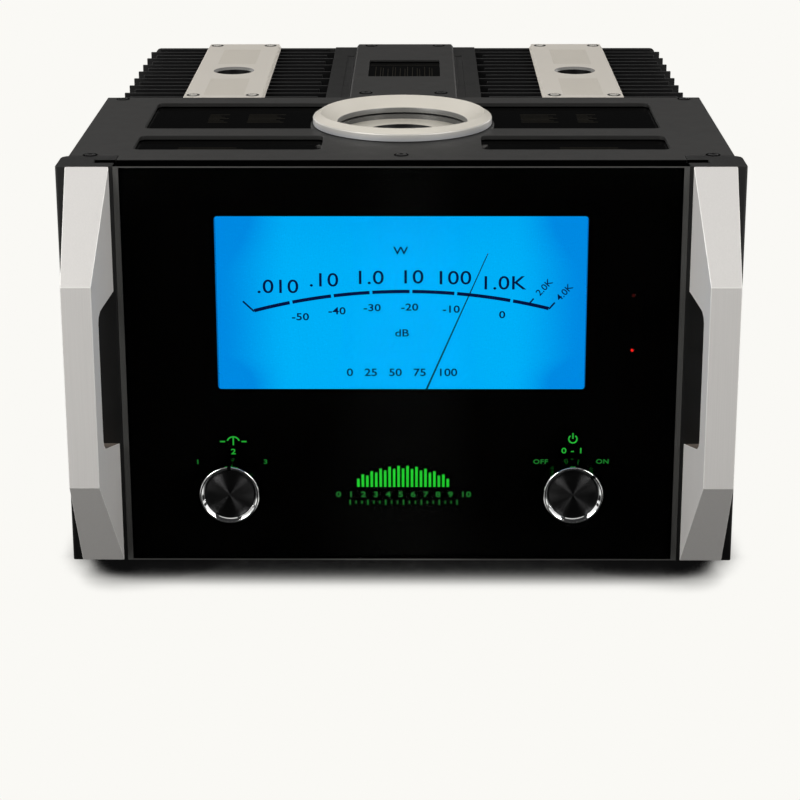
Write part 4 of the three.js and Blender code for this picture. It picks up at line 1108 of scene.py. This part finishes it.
def foot(name):
    """A turned rubber foot with a groove round it and a hollow underneath."""
    x, y, _ = centre(name)
    low, high = span(name)
    radius, top = (high[0] - low[0]) / 2, high[2]
    outline = [(0, top), (radius - 0.6, top), (radius, top - 0.6), (radius, 12.6), (radius - 0.5, 12.2),
               (radius - 0.5, 11.2), (radius, 10.8), (radius, 3.4), (radius - 0.4, 2.2), (radius - 2.4, 0.3),
               (radius - 3, 0), (9.4, 0), (9, 0.4), (9, 2), (0, 2)]
    Shape().lathe(upright(x, y, 0), outline, 96).done(name + "_turned", "foot_rubber", replaces=(name,))


for row in ("front", "rear"):
    for side in ("left", "right"):
        foot(f"foot_{row}_{side}")

# Back

GREY_PRINT = surface("grey_print", (0.62, 0.62, 0.6), 0.6, grain(1200.0, 0.000004))
TERMINALS = centre("terminal_block")
SIGNALS = centre("signal_panel")
BALANCED = centre("balanced_input")
INLET = centre("mains_inlet")
REAR_WORDS = (("1", -28, 273, 3.2), ("2", 6, 275.5, 3.2), ("3", 24, 275.5, 3.2), ("4", 38, 275.5, 3.2),
              ("+", 30, 199, 5.0), ("-", -30, 199, 5.0), ("8", 0, 176, 4.0), ("4", 0, 138, 4.0),
              ("AC", 0, 90, 4.0))
FRAMES = (("terminal_block", 14, 14), ("signal_panel", 8, 16), ("balanced_input", 6, 21),
          ("mains_inlet", 12, 18))


def printed_frame(shape, name, more_wide, more_tall):
    """A thin printed frame on the rear panel round a connector."""
    line, start, end = 0.5, REAR_FACE + 0.02, REAR_FACE + 0.1
    low, high = span(name)
    x, _, z = centre(name)
    half_wide = (high[0] - low[0] + more_wide) / 2
    half_tall = (high[2] - low[2] + more_tall) / 2
    for side in (-1, 1):
        across = x + side * half_wide
        shape.box((across - line / 2, start, z - half_tall), (across + line / 2, end, z + half_tall))
        level = z + side * half_tall
        shape.box((x - half_wide, start, level - line / 2), (x + half_wide, end, level + line / 2))


def rear_print():
    shape = Shape()
    for text, x, z, height in REAR_WORDS:
        shape.words(text, facing_back(x, REAR_FACE + 0.08, z), height, 1.1, 0.02, deep=0.1)
    for name, more_wide, more_tall in FRAMES:
        printed_frame(shape, name, more_wide, more_tall)
    shape.done("rear_print", look=GREY_PRINT)


def corner_screws(shape, middle, seat, half_wide, half_tall, radius, height):
    x, _, z = middle
    for up in (-1, 1):
        for side in (-1, 1):
            screw(shape, to_back(x + side * half_wide, seat, z + up * half_tall), radius, height)


def rear_screws():
    """Screws of the rear panel and of the plates on it."""
    inlet_seat, terminal_seat, signal_seat = span("mains_inlet")[1][1], REAR_FACE + 2.95, REAR_FACE + 1.95
    shape = Shape()
    for x in (-200, -100, 100, 200):
        for z in (27, 281):
            screw(shape, to_back(x, REAR_FACE, z), 3.0, 0.8)
    for side in (-1, 1):
        screw(shape, to_back(INLET[0] + side * 20, inlet_seat, INLET[2]), 2.6, 0.8)
    corner_screws(shape, TERMINALS, terminal_seat, 33, 33, 2.6, 0.8)
    corner_screws(shape, SIGNALS, signal_seat, 23, 14, 1.8, 0.6)
    for side in (-1, 1):
        screw(shape, to_back(BALANCED[0] + side * 9.5, signal_seat, BALANCED[2] - side * 11.5), 1.8, 0.6)
    shape.done("rear_screws", "black_paint", smooth=40)


rear_print()
rear_screws()
refine("rear_panel")
for name in ("balanced_input", "input_latch", "input_slider"):
    refine(name, 0.2)

NUTS = [f"terminal_nut_{i}" for i in range(1, 5)]
STUD_PLACES = [centre(name) for name in NUTS]
SOCKET_LEVEL = SIGNALS[2] + 7
PHONO_PLACES = [(SIGNALS[0] - 14, REAR_FACE, SOCKET_LEVEL)]
JACK_PLACES = [(SIGNALS[0] + across, REAR_FACE, SOCKET_LEVEL) for across in (4, 18)]
PIN_STEP, PIN_HALF, PIN_REACH = 7, 1.4, 6.5
BARE = LOOKS["nickel"]


def near(spot, places, radius):
    """True within radius of one of the places, seen from behind."""
    return any(math.hypot(spot.x - x, spot.z - z) < radius for x, _, z in places)


def bare_studs(normal, spot):
    return spot.y > REAR_FACE + 3.3 and near(spot, STUD_PLACES, 3.3)


def bare_sockets(normal, spot):
    return spot.y > REAR_FACE + 2.3 and (near(spot, PHONO_PLACES, 7.0) or near(spot, JACK_PLACES, 4.5))


def bare_pins(normal, spot):
    on_a_pin = any(abs(spot.x - x) < PIN_HALF for x in (-PIN_STEP, 0, PIN_STEP))
    in_socket = REAR_FACE - 14 < spot.y < REAR_FACE + 1 and abs(spot.z - INLET[2]) < PIN_REACH
    return on_a_pin and in_socket


refine("terminal_block", 0.2, paint=[(BARE, bare_studs)])
refine("signal_panel", 0.2, paint=[(BARE, bare_sockets)])
refine("mains_inlet", 0.2, paint=[(BARE, bare_pins)])

NUT_GROOVES = 12
GROOVE_DEPTH = 0.65
NUT_COLLAR = 7.0
NUT_GRIP = 8.45


def nut_grip(angle, radius):
    """Rounded finger grooves in the wide part of a terminal nut."""
    if radius < NUT_COLLAR + 0.2:
        return 0.0
    return GROOVE_DEPTH * max(0.0, math.cos(NUT_GROOVES * angle))


def terminal_nut(name, body):
    """A turned nut: a collar at its foot, a grooved grip, and a sunk end round the stud."""
    x, _, z = centre(name)
    low, high = span(name)
    start, end, bore = low[1], high[1], 3.3
    outline = [(bore, start), (NUT_COLLAR, start), (NUT_COLLAR, start + 0.8), (NUT_GRIP - 0.45, start + 0.8),
               (NUT_GRIP, start + 1.4), (NUT_GRIP, end - 2.2), (NUT_GRIP - 0.55, end - 1.2),
               (NUT_COLLAR + 0.1, end - 0.8), (NUT_COLLAR + 0.1, end - 0.3), (NUT_COLLAR - 0.3, end),
               (bore + 1.1, end), (bore + 0.8, end - 1), (bore, end - 1), (bore, start)]
    shape = Shape().lathe(to_back(x, 0, z), outline, 144, ripple=nut_grip)
    shape.done(name + "_turned", nodes[name]["slot_name"], body, (name,))


for i, name in enumerate(NUTS, 1):
    terminal_nut(name, f"nut_{i}")


# Studio

BACKDROP = (0.956, 0.947, 0.913, 1)
SHADOW_CORE = (0.004, 0.004, 0.004, 1)
MIRRORED_PAINTED_DARK = (0.02, 0.02, 0.02, 1)
UNDER_OPEN, CLEAR_OPEN = 0.222, 0.665
SIDE_UNDER_OPEN, SIDE_CLEAR_OPEN = 0.56, 0.83
SIDE_START, SIDE_FULL = 0.18, 0.222
END_START, END_FULL = 0.205, 0.165


def shadow_shade(tree, spot):
    """Painted shadow from nearby occlusion: 0 under the body and 1 outside its soft shadow, which reaches
    further at the two sides.
    """
    open_air = node(tree, "ShaderNodeAmbientOcclusion", {"Distance": 0.046}, samples=40).outputs["AO"]
    aside = math_node(tree, "ABSOLUTE", spot["X"])
    along = math_node(tree, "ABSOLUTE", spot["Y"])
    at_the_sides = ranged(tree, aside, SIDE_START, SIDE_FULL)
    beside = times(tree, at_the_sides, ranged(tree, along, END_START, END_FULL))
    darkest = ranged(tree, beside, 0.0, 1.0, UNDER_OPEN, SIDE_UNDER_OPEN)
    palest = ranged(tree, beside, 0.0, 1.0, CLEAR_OPEN, SIDE_CLEAR_OPEN)
    return math_node(tree, "POWER", ranged(tree, open_air, darkest, palest), 0.8)


def floor_look():
    """Plain backdrop with a soft painted contact shadow, and a painted reflection that metal and glass show
    as dark near the object.
    """
    made, tree = new_look("floor")
    tone = noise(tree, 3.0, 2.0)
    tint = mixed_colour(tree, tone, (0.1, 0.1, 0.098, 1), (0.115, 0.115, 0.113, 1))
    shade_with(tree, Base_Color=tint, Roughness=0.9, Specular_IOR_Level=0.0)
    spot = split(tree, place(tree))
    # Painted shadow mixed into the backdrop colour.
    seen = mixed_colour(tree, shadow_shade(tree, spot), SHADOW_CORE, BACKDROP)
    # Painted reflection: metal and glass see the floor dark near the object, and bright far off, beside it
    # and in a strip down the middle.
    far_start, far_full, most = 1.3, 2.6, 0.95
    reach = vector_math(tree, "LENGTH", place(tree), output="Value")
    aside = math_node(tree, "ABSOLUTE", spot["X"])
    beside = ranged(tree, aside, 0.3, 0.4, 0.0, most)
    middle_strip = ranged(tree, aside, 0.02, 0.06, most, 0.0)
    bright = larger(tree, ranged(tree, reach, far_start, far_full), larger(tree, beside, middle_strip))
    mirrored = mixed_colour(tree, bright, MIRRORED_PAINTED_DARK, BACKDROP)
    path = tree.nodes.new("ShaderNodeLightPath").outputs
    colour = mixed_colour(tree, path["Is Glossy Ray"], seen, mirrored)
    plain = node(tree, "ShaderNodeEmission", {"Color": colour}).outputs[0]
    direct = larger(tree, path["Is Camera Ray"], path["Is Transmission Ray"])
    shown = larger(tree, direct, path["Is Glossy Ray"])
    shaded = tree.nodes["Principled BSDF"].outputs[0]
    mix = node(tree, "ShaderNodeMixShader", {0: shown, 1: shaded, 2: plain}).outputs[0]
    feed(tree, tree.nodes["Material Output"], {"Surface": mix})
    return made


def studio_backdrop():
    shape = Shape()
    shape.box((-6000, -6000, -5), (6000, 9000, 0))
    piece = shape.done("floor", look=floor_look())
    del piece["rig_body"]
    piece.parent = None
    return piece


def softbox(name, spot, target, wide, tall, power):
    data = bpy.data.lights.new(name, "AREA")
    data.shape = "RECTANGLE"
    data.size = wide
    data.size_y = tall
    data.energy = power
    data.color = (1, 0.985, 0.96)
    lamp = bpy.data.objects.new(name, data)
    scene.collection.objects.link(lamp)
    lamp.location = spot
    lamp.rotation_euler = (Vector(target) - Vector(spot)).to_track_quat("-Z", "Y").to_euler()


def studio_world():
    """The backdrop's colour for what looks straight at it, and a dim room for light and reflections."""
    world = bpy.data.worlds.new("studio")
    scene.world = world
    world.use_nodes = True
    tree = world.node_tree
    path = tree.nodes.new("ShaderNodeLightPath").outputs
    room = mixed_colour(tree, path["Is Glossy Ray"], (0.12, 0.12, 0.118, 1), (0.03, 0.03, 0.03, 1))
    direct = larger(tree, path["Is Camera Ray"], path["Is Transmission Ray"])
    seen = mixed_colour(tree, direct, room, BACKDROP)
    feed(tree, tree.nodes["Background"], {"Color": seen, "Strength": 1.0})


floor = studio_backdrop()
studio_world()
softbox("overhead", spot=(0, -0.1, 2.4), target=(0, 0, 0.15), wide=2.6, tall=1.6, power=9.3)
softbox("front_left", spot=(-1.85, -1.75, 1.4), target=(0, -0.1, 0.15), wide=1.1, tall=1.3, power=47)
softbox("front_right", spot=(1.85, -1.75, 1.4), target=(0, -0.1, 0.15), wide=1.1, tall=1.3, power=30)
softbox("left_fill", spot=(-2.2, -0.7, 1.2), target=(0, -0.2, 0.1), wide=2.0, tall=1.8, power=11)
softbox("right_fill", spot=(2.2, -0.7, 1.2), target=(0, -0.2, 0.1), wide=2.0, tall=1.8, power=12)
softbox("rear", spot=(0, 2.1, 2.0), target=(0, 0, 0.25), wide=2.8, tall=1.0, power=9)
softbox("rear_left", spot=(-1.9, 2.1, 0.9), target=(0, 0.2, 0.12), wide=0.9, tall=1.1, power=16)
softbox("rear_right", spot=(1.9, 2.1, 0.9), target=(0, 0.2, 0.12), wide=0.9, tall=1.1, power=16)
